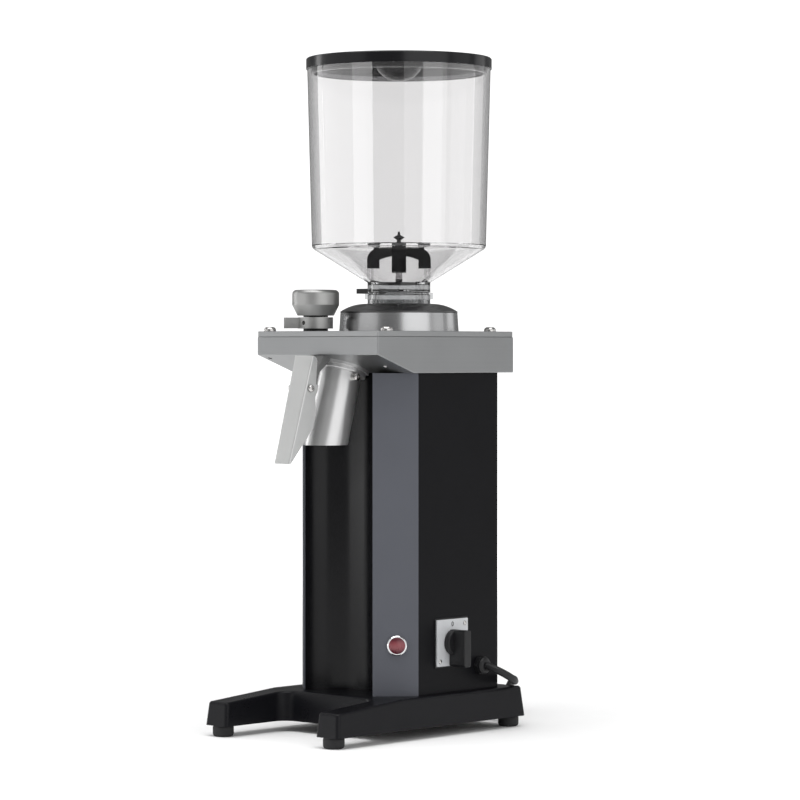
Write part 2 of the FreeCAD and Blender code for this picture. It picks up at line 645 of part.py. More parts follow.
def make_motor_end(z_flange, z_hub, hub_up):
    """Motor end bell: a cup against the stator and a bearing hub."""
    rim_low, rim_high = (z_flange, z_hub) if hub_up else (z_hub, z_flange)
    wall = tube(STATOR_RADIUS - 2, STATOR_RADIUS - 5, rim_low, rim_high)
    face_low = rim_high - 4 if hub_up else rim_low
    face = tube(STATOR_RADIUS - 2, BEARING_RADIUS, face_low, face_low + 4)
    hub_low = rim_high - 14 if hub_up else rim_low
    hub = tube(BEARING_RADIUS + 4, BEARING_RADIUS, hub_low, hub_low + 14)
    return fused([wall, face, hub])


def make_cooling_fan():
    """Eight-bladed fan below the motor."""
    hub = tube(14.0, SHAFT_RADIUS, 130.0, 146.0)
    plate = tube(38.0, 13.0, 143.0, 145.0)
    blades = [turned_about(block(12.0, 38.0, -1.0, 1.0, 131.0, 144.0), 0, 0, 45 * k) for k in range(8)]
    return fused([hub, plate] + blades)


def make_capacitor():
    """Run capacitor beside the motor with its clip and two tags."""
    can = disc(17.0, 96.0, 170.0, -50.0, 50.0)
    can = can.makeFillet(2.0, [e for e in can.Edges if abs(e.BoundBox.ZMin - 170.0) < 1e-4])
    tags = [block(-54.0 + 7 * k, -53.0 + 7 * k, 47.0, 53.0, 169.0, 178.0) for k in range(2)]
    clip = tube(18.5, 16.8, 120.0, 132.0, -50.0, 50.0)
    foot = block(-73.9, -66.5, 44.0, 56.0, 120.0, 132.0)
    return fused([can, clip, foot] + tags)


def make_terminal_block():
    """Six-way terminal block on the service side of the base."""
    body = block(-10, 44, 50, 68, BASE_TOP, BASE_TOP + 18)
    wells = [disc(2.6, BASE_TOP + 8, BASE_TOP + 19, -4 + 9 * k, y) for k in range(6) for y in (54.5, 63.5)]
    return body.cut(Part.makeCompound(wells))


# ---- spout and bag clamp ------------------------------------------------------------------------

def make_spout_tube():
    """Slanted ground-coffee tube, cut level at its mouth and slotted for its side screw."""
    length = SPOUT_MOUTH + 10
    start = spout_axis_point(-10)
    outer = Part.makeCylinder(SPOUT_RADIUS, length, start, SPOUT_UP)
    inner = Part.makeCylinder(SPOUT_BORE, length, start, SPOUT_UP)
    pipe = outer.cut(inner)
    below = block(-60, 60, -200, 0, SPOUT_BOTTOM_Z - 60, SPOUT_BOTTOM_Z)
    return pipe.cut(below)


def make_spout_flange():
    """Two-step flange on the sloped underside, cut straight at the back."""
    centre = spout_axis_point((slope_z(-81.6) - SPOUT_BOTTOM_Z) / math.cos(SPOUT_TILT))
    wide = Part.makeCylinder(27.4, 2.6, centre, SLOPE_NORMAL)
    narrow = Part.makeCylinder(24.6, 6.4, centre, SLOPE_NORMAL)
    narrow = narrow.makeFillet(0.8, [e for e in narrow.Edges if e.BoundBox.ZMin < centre.z - 8][:1])
    flange = fused([wide, narrow])
    bore = Part.makeCylinder(SPOUT_RADIUS, 60, spout_axis_point(SPOUT_MOUTH - 45), SPOUT_UP)
    rear = block(-60, 60, SLOPE_END_Y - 0.5, 0, 300, 380)
    head_plane = side_prism([(HEAD_FRONT - 30, slope_z(HEAD_FRONT - 30)), (0, slope_z(0)), (0, 400),
                             (HEAD_FRONT - 30, 400)], -60, 60)
    return flange.cut(bore).cut(rear).cut(head_plane)


def make_spout_screw():
    """Button-head screw on a round spacer at the spout's right-hand side."""
    y, z = -86.0, 340.2
    along = V(1, 0, 0)
    spacer = Part.makeCylinder(3.9, 6.0, V(SPOUT_RADIUS - 2.7, y, z), along)
    head = placed(pan_head(3.7, 2.6, 2.0, 3.0), V(SPOUT_RADIUS + 3.3, y, z), along)
    pipe = Part.makeCylinder(SPOUT_RADIUS, 90, spout_axis_point(0), SPOUT_UP)
    return fused([spacer, head]).cut(pipe).cut(make_spout_flange())


CLAMP_THICK = 2.0
# Side outline of the clamp, as (distance behind the front plate, distance down from the top)
CLAMP_SIDE = [(0, 0), (3.2, 0), (6.2, 1.2), (7.8, 3.6), (8.2, 6.2), (12.2, 24.4), (16.0, 25.3), (16.4, 29.0),
              (15.0, 36.6), (20.5, 52.0), (20.6, 66.0), (12.9, 82.0), (1.8, CLAMP_LENGTH), (0, CLAMP_LENGTH)]


def clamp_to_world(shape):
    """Stand the clamp, built upright with its top at the origin, at its own tilt."""
    moved = shape.copy()
    moved.rotate(V(0, 0, 0), V(1, 0, 0), -CLAMP_TILT)
    moved.translate(V(0, CLAMP_TOP_Y, CLAMP_TOP_Z))
    return moved


def make_clamp_lever():
    """Bag clamp: tapered channel with a straight front, shaped sides and a lip at the bottom."""
    outline = [(depth, -down) for depth, down in CLAMP_SIDE]
    whole = side_prism(outline, -CLAMP_HALF_TOP, CLAMP_HALF_TOP)
    hollow_outline = [(CLAMP_THICK, 5), (60, 5), (60, -CLAMP_LENGTH + CLAMP_THICK),
                      (CLAMP_THICK, -CLAMP_LENGTH + CLAMP_THICK)]
    inner_half = CLAMP_HALF_BOTTOM - CLAMP_THICK
    taper = (CLAMP_HALF_TOP - CLAMP_HALF_BOTTOM) / CLAMP_LENGTH
    hollow = side_prism(hollow_outline, -CLAMP_HALF_TOP, CLAMP_HALF_TOP)
    for side in (-1, 1):
        for shape_name, half_top, half_low in (("outer", CLAMP_HALF_TOP, CLAMP_HALF_BOTTOM),
                                               ("inner", CLAMP_HALF_TOP - CLAMP_THICK, inner_half)):
            points = [(side * (half_top + taper * 10), 10), (side * 40, 10), (side * 40, -CLAMP_LENGTH - 10),
                      (side * (half_low - taper * 10), -CLAMP_LENGTH - 10)]
            corners = [V(x, -5, z) for x, z in points]
            wedge = Part.Face(Part.makePolygon(corners + corners[:1])).extrude(V(0, 80, 0))
            if shape_name == "outer":
                whole = whole.cut(wedge)
            else:
                hollow = hollow.cut(wedge)
    front_edges = [e for e in whole.Edges if e.BoundBox.ZLength > 90 and e.BoundBox.YMax < 0.2]
    whole = whole.makeFillet(1.6, front_edges)
    channel = clamp_to_world(whole.cut(hollow))
    return channel.cut(Part.makeCylinder(2.45, 60, V(-30, PIVOT_Y, PIVOT_Z), V(1, 0, 0)))


def make_lever_bracket():
    """Black bracket: a foot on the sloped underside and two ears for the pivot."""
    foot_front, foot_rear = HEAD_FRONT + 1.0, -104.5
    ear = [(foot_front, slope_z(foot_front)), (foot_rear, slope_z(foot_rear)), (-112.5, 351.0),
           (-120.4, 345.0), (-123.4, 338.0), (-124.6, 331.0), (-128.6, 327.4), (-133.2, 326.0),
           (-136.6, 325.7), (-139.2, 327.6), (-139.2, 331.0), (-134.8, 337.0),
           (-127.0, 344.5), (-118.6, 355.0)]
    ears = side_prism(ear, -8.9, 8.9)
    gap = side_prism([(-160, 300), (-110, 300), (-110, 348), (-122, 356), (-160, 356)], -6.6, 6.6)
    bracket = ears.cut(gap)
    bracket = bracket.cut(Part.makeCylinder(2.4, 60, V(-30, PIVOT_Y, PIVOT_Z), V(1, 0, 0)))
    return bracket.cut(make_spout_flange())


def make_lever_pivot_screw():
    """Shouldered pivot screw with a domed head and a nut on the far side."""
    along = V(1, 0, 0)
    screw = placed(pan_head(3.5, 2.4, 2.4, 23.4), V(12.0, PIVOT_Y, PIVOT_Z), along)
    nut = placed(hexagon(4.0, 0, 2.4), V(-14.2, PIVOT_Y, PIVOT_Z), along)
    stub = Part.makeCylinder(2.4, 3.2, V(-14.4, PIVOT_Y, PIVOT_Z), along)
    return fused([screw, stub, nut])


def make_clamp_spring():
    """Torsion spring on the pivot: a ridged sleeve of closed coils with two short legs."""
    outline = [(2.45, -5.2)]
    for k in range(7):
        outline += [(3.8, -5.2 + 1.5 * k), (4.05, -4.6 + 1.5 * k), (3.8, -4.0 + 1.5 * k)]
    outline.append((2.45, 5.0))
    sleeve = placed(turned(outline), V(0, PIVOT_Y, PIVOT_Z), V(1, 0, 0))
    leg = [(PIVOT_Y + 2.7, PIVOT_Z), (PIVOT_Y + 3.6, PIVOT_Z - 0.4), (PIVOT_Y + 8.0, PIVOT_Z + 11.0),
           (PIVOT_Y + 6.9, PIVOT_Z + 11.4)]
    legs = [side_prism(leg, x - 0.55, x + 0.55) for x in (-4.35, 4.15)]
    return fused([sleeve] + legs)


# ---- hopper -------------------------------------------------------------------------------------

def cone_inner_z(radius):
    """Height of the cone's inner surface at one radius."""
    return HOPPER_FLOOR + (radius - 24.0) * (465.4 - HOPPER_FLOOR) / (79.8 - 24.0)


GUARD_HALF_WIDTH = 6.9


def make_hopper_body():
    """Clear hopper: slightly flared cylinder, cone, and four posts for the finger guard."""
    shoulder_inner = HOPPER_RADIUS_SHOULDER - HOPPER_WALL
    rim_inner = HOPPER_RADIUS_RIM - HOPPER_WALL
    profile = [(NECK_RADIUS, HOPPER_FLOOR), (82.0, 462.9), (83.6, 464.4),
               (HOPPER_RADIUS_SHOULDER, HOPPER_SHOULDER), (HOPPER_RADIUS_RIM, HOPPER_RIM),
               (rim_inner, HOPPER_RIM), (shoulder_inner, HOPPER_SHOULDER + 1.0), (79.8, 465.4),
               (24.0, HOPPER_FLOOR)]
    shell = turned(profile)
    posts = []
    for k in range(4):
        seat = 446.0 if k % 2 == 0 else 442.6
        for radius in (26.0, 29.6):
            low = max(cone_inner_z(radius) - 1.6, HOPPER_FLOOR + 0.1)
            post = block(radius - 1.3, radius + 1.3, -3.2, 3.2, low, seat)
            posts.append(turned_about(post, 0, 0, GUARD_TURN + 90 * k))
    return fused([shell] + posts)


GATE_LOW = 422.6
GATE_HIGH = 424.0


def make_hopper_neck():
    """Thick clear collar under the cone: bayonet lugs, gate slot, spigot into the dome cap."""
    collar = turned([(20.5, 398.0), (24.9, 398.0), (24.9, 414.4), (NECK_RADIUS, 414.4), (NECK_RADIUS, 419.2),
                     (29.2, 419.8), (29.2, 421.0), (NECK_RADIUS, 421.6), (NECK_RADIUS, HOPPER_FLOOR),
                     (24.0, HOPPER_FLOOR), (20.5, 428.6)])
    lug = block(28.5, 33.0, -3.0, 3.0, 415.2, 421.4)
    lugs = [turned_about(lug, 0, 0, GUARD_TURN + turn) for turn in (0, 180)]
    collar = fused([collar] + lugs)
    slot = block(-34.0, 23.2, -22.2, 22.2, GATE_LOW - 0.3, GATE_HIGH + 0.3)
    return collar.cut(slot)


def make_neck_base_ring():
    """Clear serrated grip ring between the dome cap and the neck."""
    teeth = 40
    points = []
    for k in range(teeth):
        step = 2 * math.pi / teeth
        for radius, part in ((29.1, -0.42), (30.4, -0.25), (30.4, 0.25), (29.1, 0.42)):
            angle = (k + part) * step
            points.append((radius * math.cos(angle), radius * math.sin(angle)))
    ring = flat_prism(points, DOME_TOP, 414.4)
    return ring.cut(disc(24.9, DOME_TOP, 414.4))


def make_slide_gate():
    """Black sliding gate with a thick pull tab on the left."""
    plate = block(-36.0, 22.0, -21.4, 21.4, GATE_LOW, GATE_HIGH)
    plate = plate.makeFillet(10.0, upright_edges(plate, lambda point: point.x > 0))
    plate = plate.common(disc(NECK_RADIUS + 0.8, GATE_LOW, GATE_HIGH))
    tab = block(-49.8, -31.8, -8.0, 8.0, 420.8, 425.6)
    tab = tab.makeFillet(1.6, upright_edges(tab, lambda point: point.x < -45))
    tongue = block(-34.0, -24.0, -8.0, 8.0, GATE_LOW, GATE_HIGH)
    return fused([plate, tongue, tab])


def guard_arch(leg_bottom):
    """One arch of the finger guard, in the XZ plane."""
    half = GUARD_HALF_WIDTH
    outer_left = Part.Arc(V(-30.8, 0, 455.0), V(-27.6, 0, 462.0), V(-19.0, 0, 465.8)).toShape()
    outer_right = Part.Arc(V(19.0, 0, 465.8), V(27.6, 0, 462.0), V(30.8, 0, 455.0)).toShape()
    inner_arc = Part.Arc(V(18.9, 0, 454.4), V(0, 0, 458.6), V(-18.9, 0, 454.4)).toShape()
    sides = [((-19.0, 465.8), (19.0, 465.8)), ((30.8, 455.0), (30.8, leg_bottom)),
             ((30.8, leg_bottom), (18.9, leg_bottom)), ((18.9, leg_bottom), (18.9, 454.4)),
             ((-18.9, 454.4), (-18.9, leg_bottom)), ((-18.9, leg_bottom), (-30.8, leg_bottom)),
             ((-30.8, leg_bottom), (-30.8, 455.0))]
    lines = [Part.LineSegment(V(a[0], 0, a[1]), V(b[0], 0, b[1])).toShape() for a, b in sides]
    outline = Part.Wire(Part.__sortEdges__(lines + [outer_left, outer_right, inner_arc]))
    arch = Part.Face(outline).extrude(V(0, 2 * half, 0))
    arch.translate(V(0, -half, 0))
    return arch


def make_finger_guard():
    """Black four-legged guard over the throat, with pads and a hub for its disc."""
    arches = [guard_arch(446.0), turned_about(guard_arch(442.6), 0, 0, 90)]
    pads = [turned_about(block(19.5, 24.5, -5.0, 5.0, 464.5, 467.2), 0, 0, 90 * k) for k in range(4)]
    hub = disc(6.8, 464.0, 468.2)
    guard = fused(arches + pads + [hub]).cut(disc(1.9, 462.0, 469.0))
    return turned_about(guard, 0, 0, GUARD_TURN)


def make_guard_disc():
    """Thin conical disc on the guard's pads."""
    return turned([(1.9, 468.2), (12.0, 468.2), (29.6, 466.9), (29.8, 467.6), (12.0, 469.2), (1.9, 469.6)])


def make_star_nut():
    """Four-winged finial nut that holds the disc."""
    core = turned([(0, 462.0), (1.9, 462.0), (1.9, 469.6), (2.4, 469.6), (1.9, 472.6), (3.0, 474.8),
                   (1.4, 477.4),
                   (1.0, 480.4), (0, 480.8)])
    wing = side_prism([(0, 480.6), (-1.4, 477.2), (-5.6, 475.0), (-1.9, 472.4), (1.9, 472.4), (5.6, 475.0),
                       (1.4, 477.2)], -0.9, 0.9)
    wings = [turned_about(wing, 0, 0, GUARD_TURN + 90 * k) for k in range(2)]
    return fused([core] + wings)


LID_RADIUS = 90.05
LID_TOP = 648.4
LID_PLATE = 645.9
CUP_RADIUS = 23.5
CUP_BOTTOM = 626.4


def make_hopper_lid():
    """Black lid: flat plate, rim, and a round finger cup with a bar across it."""
    rim = turned([(0, LID_PLATE), (86.4, LID_PLATE), (86.4, HOPPER_RIM), (LID_RADIUS, HOPPER_RIM),
                  (LID_RADIUS, LID_TOP - 1.0), (LID_RADIUS - 1.0, LID_TOP), (0, LID_TOP)])
    depth = LID_PLATE - CUP_BOTTOM
    bowl = Part.makeSphere(CUP_RADIUS)
    squeeze = FreeCAD.Matrix()
    squeeze.scale(1, 1, (depth + 0.6) / CUP_RADIUS)
    bowl = bowl.transformGeometry(squeeze)
    bowl.translate(V(0, 0, LID_PLATE + 0.6))
    hollow = Part.makeSphere(CUP_RADIUS - 2.2).transformGeometry(squeeze)
    hollow.translate(V(0, 0, LID_PLATE + 1.6))
    keep = disc(CUP_RADIUS + 2, CUP_BOTTOM - 5, LID_PLATE + 0.3)
    bowl = bowl.common(keep)
    lid = fused([rim, bowl])
    lid = lid.cut(hollow).cut(disc(CUP_RADIUS - 2.2, LID_PLATE + 1.0, LID_TOP + 1))
    bar = block(-CUP_RADIUS, CUP_RADIUS, -5.0, 5.0, LID_TOP - 6.0, LID_TOP)
    bar = bar.makeFillet(1.5, [e for e in bar.Edges if e.BoundBox.XLength > 40])
    return fused([lid, bar])


def make_lid_seal():
    """Pale plug ring under the lid that centres it in the hopper."""
    return turned([(82.6, 633.0), (84.9, 633.0), (85.6, 634.4), (85.6, 637.4), (84.8, LID_PLATE),
                   (82.6, LID_PLATE), (82.6, 641.2), (81.9, 640.9), (81.9, 639.9), (82.6, 639.6)])


# ---- controls, gland and lead -------------------------------------------------------------------

BUTTON_X = CORNER_X + BUTTON_SHIFT
BUTTON_Y = CORNER_Y + BUTTON_SHIFT


def make_button_bezel():
    """Chrome bezel with its threaded barrel and the switch block behind."""
    barrel = turned([(7.9, -16), (8.6, -16), (8.6, 0), (9.8, 0), (9.8, 1.4), (9.3, 2.6), (8.5, 3.2),
                     (7.9, 3.2)])
    back = turned([(0, -26), (8.6, -26), (8.6, -16), (0, -16)])
    return placed(fused([barrel, back]), V(BUTTON_X, BUTTON_Y, BUTTON_Z), CORNER_NORMAL)


def make_push_button():
    """Red domed push button in the bezel."""
    rise = 2.1
    dome_radius = (BUTTON_RADIUS ** 2 + rise ** 2) / (2 * rise)
    button = Part.makeCylinder(BUTTON_RADIUS, 20.0, V(0, 0, -12.0))
    dome = Part.makeSphere(dome_radius, V(0, 0, 5.5 - dome_radius))
    return placed(button.common(dome), V(BUTTON_X, BUTTON_Y, BUTTON_Z), CORNER_NORMAL)


def make_switch_plate():
    """Square silver plate of the rotary switch."""
    half = SWITCH_PLATE / 2
    face_x = COLUMN_HALF + 0.9
    plate = block(face_x, face_x + 1.5, SWITCH_Y - half, SWITCH_Y + half, SWITCH_Z - half, SWITCH_Z + half)
    plate = plate.makeFillet(1.0, [e for e in plate.Edges if e.BoundBox.XLength > 1])
    return plate.cut(Part.makeCylinder(6.0, 10, V(face_x - 2, SWITCH_Y, SWITCH_Z), V(1, 0, 0)))


def make_switch_body():
    """Switch behind the plate: gasket, neck, contact blocks and terminals."""
    gasket = block(COLUMN_HALF, COLUMN_HALF + 0.9, SWITCH_Y - 23.4, SWITCH_Y + 23.4,
                   SWITCH_Z - 23.4, SWITCH_Z + 23.4)
    neck = Part.makeCylinder(13.8, 6.0, V(COLUMN_HALF - 5.5, SWITCH_Y, SWITCH_Z), V(1, 0, 0))
    decks = [block(COLUMN_HALF - 16.0 - 11.0 * k, COLUMN_HALF - 6.0 - 11.0 * k, SWITCH_Y - 20, SWITCH_Y + 20,
                   SWITCH_Z - 20, SWITCH_Z + 20) for k in range(2)]
    spine = Part.makeCylinder(9.0, 26.0, V(COLUMN_HALF - 27.0, SWITCH_Y, SWITCH_Z), V(1, 0, 0))
    body = fused([gasket, neck, spine] + decks)
    return body.cut(Part.makeCylinder(5.6, 12, V(COLUMN_HALF - 6, SWITCH_Y, SWITCH_Z), V(1, 0, 0)))


HANDLE_TOP = 12.2
HANDLE_DROP = 22.8
HANDLE_X = COLUMN_HALF + 2.7
HANDLE_END = 97.8


def make_switch_handle():
    """Black switch handle: round foot and a flat bar that points down at rest."""
    along = V(1, 0, 0)
    foot = Part.makeCylinder(HANDLE_TOP, 5.6, V(HANDLE_X, SWITCH_Y, SWITCH_Z), along)
    foot = foot.makeFillet(1.4, [e for e in foot.Edges if e.BoundBox.XMin > HANDLE_X + 5])
    bar = block(HANDLE_X, HANDLE_END, SWITCH_Y - 4.7, SWITCH_Y + 4.7,
                SWITCH_Z - HANDLE_DROP, SWITCH_Z + HANDLE_TOP)
    bar = bar.makeFillet(2.4, [e for e in bar.Edges if e.BoundBox.XLength > 10])
    bar = bar.makeFillet(0.9, [e for e in bar.Edges if e.BoundBox.XMin > HANDLE_END - 0.01])
    spindle = Part.makeCylinder(5.0, HANDLE_X - COLUMN_HALF + 4,
                                V(COLUMN_HALF - 4, SWITCH_Y, SWITCH_Z), along)
    return fused([foot, bar, spindle])


def make_cable_gland():
    """Hexagonal gland body, domed clamping nut and the nut inside the column."""
    hex_body = placed(hexagon(9.6, 0, 4.0, 30), V(COLUMN_HALF, GLAND_Y, GLAND_Z), V(1, 0, 0))
    profile = [(0, 0), (8.2, 0), (8.2, 2.2), (6.9, GLAND_END - COLUMN_HALF - 4.9),
               (5.2, GLAND_END - COLUMN_HALF - 4.0), (0, GLAND_END - COLUMN_HALF - 4.0)]
    dome = placed(turned(profile), V(COLUMN_HALF + 4.0, GLAND_Y, GLAND_Z), V(1, 0, 0))
    thread = Part.makeCylinder(7.5, 12.0, V(COLUMN_HALF - 9.0, GLAND_Y, GLAND_Z), V(1, 0, 0))
    locknut = placed(hexagon(11.0, 0, 4.0), V(COLUMN_HALF - SHEET - 4.0, GLAND_Y, GLAND_Z), V(1, 0, 0))
    heading = (LEAD_ROUTE[1] - LEAD_ROUTE[0]).normalize()
    recess = Part.makeCylinder(LEAD_RADIUS, 10, LEAD_ROUTE[0], heading)
    return fused([hex_body, dome, thread, locknut]).cut(recess)


# Route of the lead: out of the gland, round the column, over the base's rear edge, down to the floor
LEAD_ROUTE = [V(GLAND_END, GLAND_Y, GLAND_Z), V(92.6, 33.5, 60.2), V(99.1, 38.1, 56.6), V(102.2, 45.4, 52.2),
              V(101.2, 53.3, 48.4), V(96.0, 60.8, 46.2), V(88.7, 68.9, 45.8), V(80.0, 78.6, 45.8),
              V(70.3, 88.6, 44.9), V(59.5, 97.0, 39.3), V(49.8, 102.5, 29.1), V(41.3, 105.7, 17.0),
              V(29.5, 108.5, 8.1), V(14.3, 110.0, 3.9), V(-2.7, 110.4, 3.7), V(-20.7, 110.9, 3.8),
              V(-41.7, 111.9, 3.7), V(-61.5, 112.4, 3.7)]


def lead_tube():
    """Straight runs joined by tangent arcs, swept with the lead's round section."""
    edges = []
    start = LEAD_ROUTE[0]
    radii = []
    for k in range(1, len(LEAD_ROUTE) - 1):
        before, corner, after = LEAD_ROUTE[k - 1], LEAD_ROUTE[k], LEAD_ROUTE[k + 1]
        run_in, run_out = corner - before, after - corner
        way_in, way_out = V(run_in).normalize(), V(run_out).normalize()
        half_turn = way_in.getAngle(way_out) / 2
        reach = 0.45 * min(run_in.Length, run_out.Length)
        radii.append(reach / math.tan(half_turn))
        arc_start = corner - way_in * reach
        arc_end = corner + way_out * reach
        bisector = (way_out - way_in).normalize()
        sag = radii[-1] * (1 / math.cos(half_turn) - 1)
        edges.append(Part.LineSegment(start, arc_start).toShape())
        edges.append(Part.Arc(arc_start, corner + bisector * sag, arc_end).toShape())
        start = arc_end
    edges.append(Part.LineSegment(start, LEAD_ROUTE[-1]).toShape())
    path = Part.Wire(edges)
    heading = (LEAD_ROUTE[1] - LEAD_ROUTE[0]).normalize()
    section = Part.Wire(Part.makeCircle(LEAD_RADIUS, LEAD_ROUTE[0], heading))
    tube_solid = path.makePipeShell([section], True, False)
    expected = math.pi * LEAD_RADIUS ** 2 * path.Length
    print("lead radii in diameters", [round(r / LEAD_DIAMETER, 1) for r in radii])
    print("lead length", round(path.Length, 1), "volume ratio", round(tube_solid.Volume / expected, 4))
    return tube_solid


def make_lead_coil():
    """Outer shape of the coiled rest of the lead."""
    return tube(COIL_MID_RADIUS + LEAD_DIAMETER, COIL_MID_RADIUS - LEAD_DIAMETER,
                0, COIL_LAYERS * LEAD_DIAMETER,
                COIL_X, COIL_Y)


def make_mains_plug():
    """Moulded two-pin plug lying on top of the coil."""
    along = V(math.cos(PLUG_ANGLE), math.sin(PLUG_ANGLE), 0)
    aside = V(math.sin(PLUG_ANGLE), -math.cos(PLUG_ANGLE), 0)
    start = V(COIL_X, COIL_Y, COIL_LAYERS * LEAD_DIAMETER + PLUG_RADIUS) + along * 6.4 + aside * 30.0
    body = turned([(0, 0), (4.4, 0), (5.4, 20), (13.0, 27), (PLUG_RADIUS, 31), (PLUG_RADIUS, 43),
                   (15.8, 45), (0, 45)])
    pins = [Part.makeCylinder(2.4, 19.5, V(side, 0, 44.5)) for side in (-9.5, 9.5)]
    return placed(fused([body] + pins), start, along * -1)


# ---- write every node ---------------------------------------------------------------------------

def write(name, shape):
    """Export one node; a list of solids becomes one compound."""
    whole = Part.makeCompound(shape) if isinstance(shape, list) else shape
    solids = whole.Solids
    good = bool(solids) and all(solid.isValid() and solid.Volume > 0 for solid in solids)
    if not good or (not isinstance(shape, list) and len(solids) != 1):
        print("CHECK", name, "solids", len(solids), "valid", whole.isValid())
    whole.exportStep(os.path.join("parts", name + ".step"))


def main():
    """Build and write the whole grinder."""
    shell = make_body_shell()
    nodes = {
        "base_frame": make_base_frame(),
        "rubber_feet": make_rubber_feet(),
        "front_panel": make_front_panel(),
        "corner_panel_left": make_corner_panel(-1, shell),
        "corner_panel_right": make_corner_panel(1, shell),
        "body_shell": shell,
        "rear_cover": make_rear_cover(),
        "rear_cover_screws": make_rear_cover_screws(),
        "head_casting": make_head_casting(),
        "top_plate": make_top_plate(),
        "top_plate_screws": make_top_plate_screws(),
        "chamber_ring": make_chamber_ring(),
        "dome_cap": make_dome_cap(),
        "adjusting_ring": make_adjusting_ring(),
        "upper_burr_carrier": make_upper_burr_carrier(),
        "upper_burr": burr(368.6, BURR_TOP, False),
        "upper_burr_screws": burr_screws(369.6, True),
        "lower_burr_carrier": make_lower_burr_carrier(),
        "lower_burr": burr(360.0, 368.0, True),
        "lower_burr_screws": burr_screws(367.0, False),
        "motor_shaft": make_motor_shaft(),
        "motor_bearings": make_motor_bearings(),
        "rotor": make_rotor(),
        "stator": make_stator(),
        "motor_end_top": make_motor_end(295.0, MOTOR_TOP, True),
        "motor_end_bottom": make_motor_end(195.0, MOTOR_BOTTOM, False),
        "cooling_fan": make_cooling_fan(),
        "capacitor": make_capacitor(),
        "terminal_block": make_terminal_block(),
        "spout_tube": make_spout_tube(),
        "spout_flange": make_spout_flange(),
        "spout_screw": make_spout_screw(),
        "clamp_lever": make_clamp_lever(),
        "lever_bracket": make_lever_bracket(),
        "lever_pivot_screw": make_lever_pivot_screw(),
        "clamp_spring": make_clamp_spring(),
        "adjusting_knob": make_adjusting_knob(),
        "knob_shaft": make_knob_shaft(),
        "lock_lever": make_lock_lever(),
        "lock_screw": make_lock_screw(),
        "knob_spacer": make_knob_spacer(),
        "hopper_body": make_hopper_body(),
        "hopper_neck": make_hopper_neck(),
        "neck_base_ring": make_neck_base_ring(),
        "slide_gate": make_slide_gate(),
        "finger_guard": make_finger_guard(),
        "guard_disc": make_guard_disc(),
        "star_nut": make_star_nut(),
        "hopper_lid": make_hopper_lid(),
        "lid_seal": make_lid_seal(),
        "button_bezel": make_button_bezel(),
        "push_button": make_push_button(),
        "switch_plate": make_switch_plate(),
        "switch_body": make_switch_body(),
        "switch_handle": make_switch_handle(),
        "cable_gland": make_cable_gland(),
        "mains_lead": lead_tube(),
        "lead_coil": make_lead_coil(),
        "mains_plug": make_mains_plug(),
    }
    for name, shape in nodes.items():
        write(name, shape)
    print(len(nodes), "nodes written")


main()
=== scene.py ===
"""Looks of a shop burr coffee grinder: camera, materials, mains lead, small pieces, floor and lights.

The camera, floor and lights are given in metres. The pieces are given in millimetres, and mm() turns
their points to metres.
"""
import json
import math

import bmesh
import bpy
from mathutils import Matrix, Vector


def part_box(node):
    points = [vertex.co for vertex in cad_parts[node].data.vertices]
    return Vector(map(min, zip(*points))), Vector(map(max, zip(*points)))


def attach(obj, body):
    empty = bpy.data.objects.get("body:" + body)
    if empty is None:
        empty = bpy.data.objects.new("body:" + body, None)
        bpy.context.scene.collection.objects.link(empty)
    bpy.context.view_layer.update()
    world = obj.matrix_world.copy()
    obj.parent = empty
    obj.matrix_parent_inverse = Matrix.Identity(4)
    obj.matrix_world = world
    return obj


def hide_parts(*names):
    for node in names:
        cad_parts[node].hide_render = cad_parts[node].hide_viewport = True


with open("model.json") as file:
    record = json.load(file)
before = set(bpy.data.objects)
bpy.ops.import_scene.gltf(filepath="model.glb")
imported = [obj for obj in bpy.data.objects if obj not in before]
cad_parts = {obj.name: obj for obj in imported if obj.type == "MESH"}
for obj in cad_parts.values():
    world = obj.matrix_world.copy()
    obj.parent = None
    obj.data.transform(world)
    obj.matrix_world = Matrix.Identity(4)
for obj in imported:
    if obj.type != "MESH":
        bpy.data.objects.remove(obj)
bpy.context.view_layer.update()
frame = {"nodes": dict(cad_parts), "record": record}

MM = 0.001
NODES = frame["nodes"]


def mm(x, y, z):
    """A point given in millimetres, in metres."""
    return Vector((x * MM, y * MM, z * MM))


# ---- camera -------------------------------------------------------------------------------------

CAMERA_TURN = math.radians(42.26)  # to the right of straight ahead
CAMERA_DISTANCE = 3.151
CAMERA_SIDESTEP = 0.00104
CAMERA_HEIGHT = 0.3633
CAMERA_SHIFT = -0.0594
LENS_MM = 146.13
SENSOR_MM = 36.0
TO_CAMERA = Vector((math.sin(CAMERA_TURN), -math.cos(CAMERA_TURN), 0))
CAMERA_RIGHT = Vector((math.cos(CAMERA_TURN), math.sin(CAMERA_TURN), 0))


def make_camera():
    """Level camera with a long lens, to the right of the grinder's front."""
    data = bpy.data.cameras.new("camera")
    data.lens = LENS_MM
    data.sensor_width = SENSOR_MM
    data.shift_y = CAMERA_SHIFT
    camera = bpy.data.objects.new("camera", data)
    camera.location = TO_CAMERA * CAMERA_DISTANCE + CAMERA_RIGHT * CAMERA_SIDESTEP
    camera.location.z = CAMERA_HEIGHT
    camera.rotation_euler = (math.pi / 2, 0, CAMERA_TURN)
    bpy.context.collection.objects.link(camera)
    bpy.context.scene.camera = camera


make_camera()


# ---- materials ----------------------------------------------------------------------------------
# Noise scales are cells per metre, and bump depths are metres.

NOISE_ROUGHNESS = 0.55
BLOTCH_SHARE, GRAIN_SHARE = 0.55, 0.45
ACRYLIC_IOR = 1.49


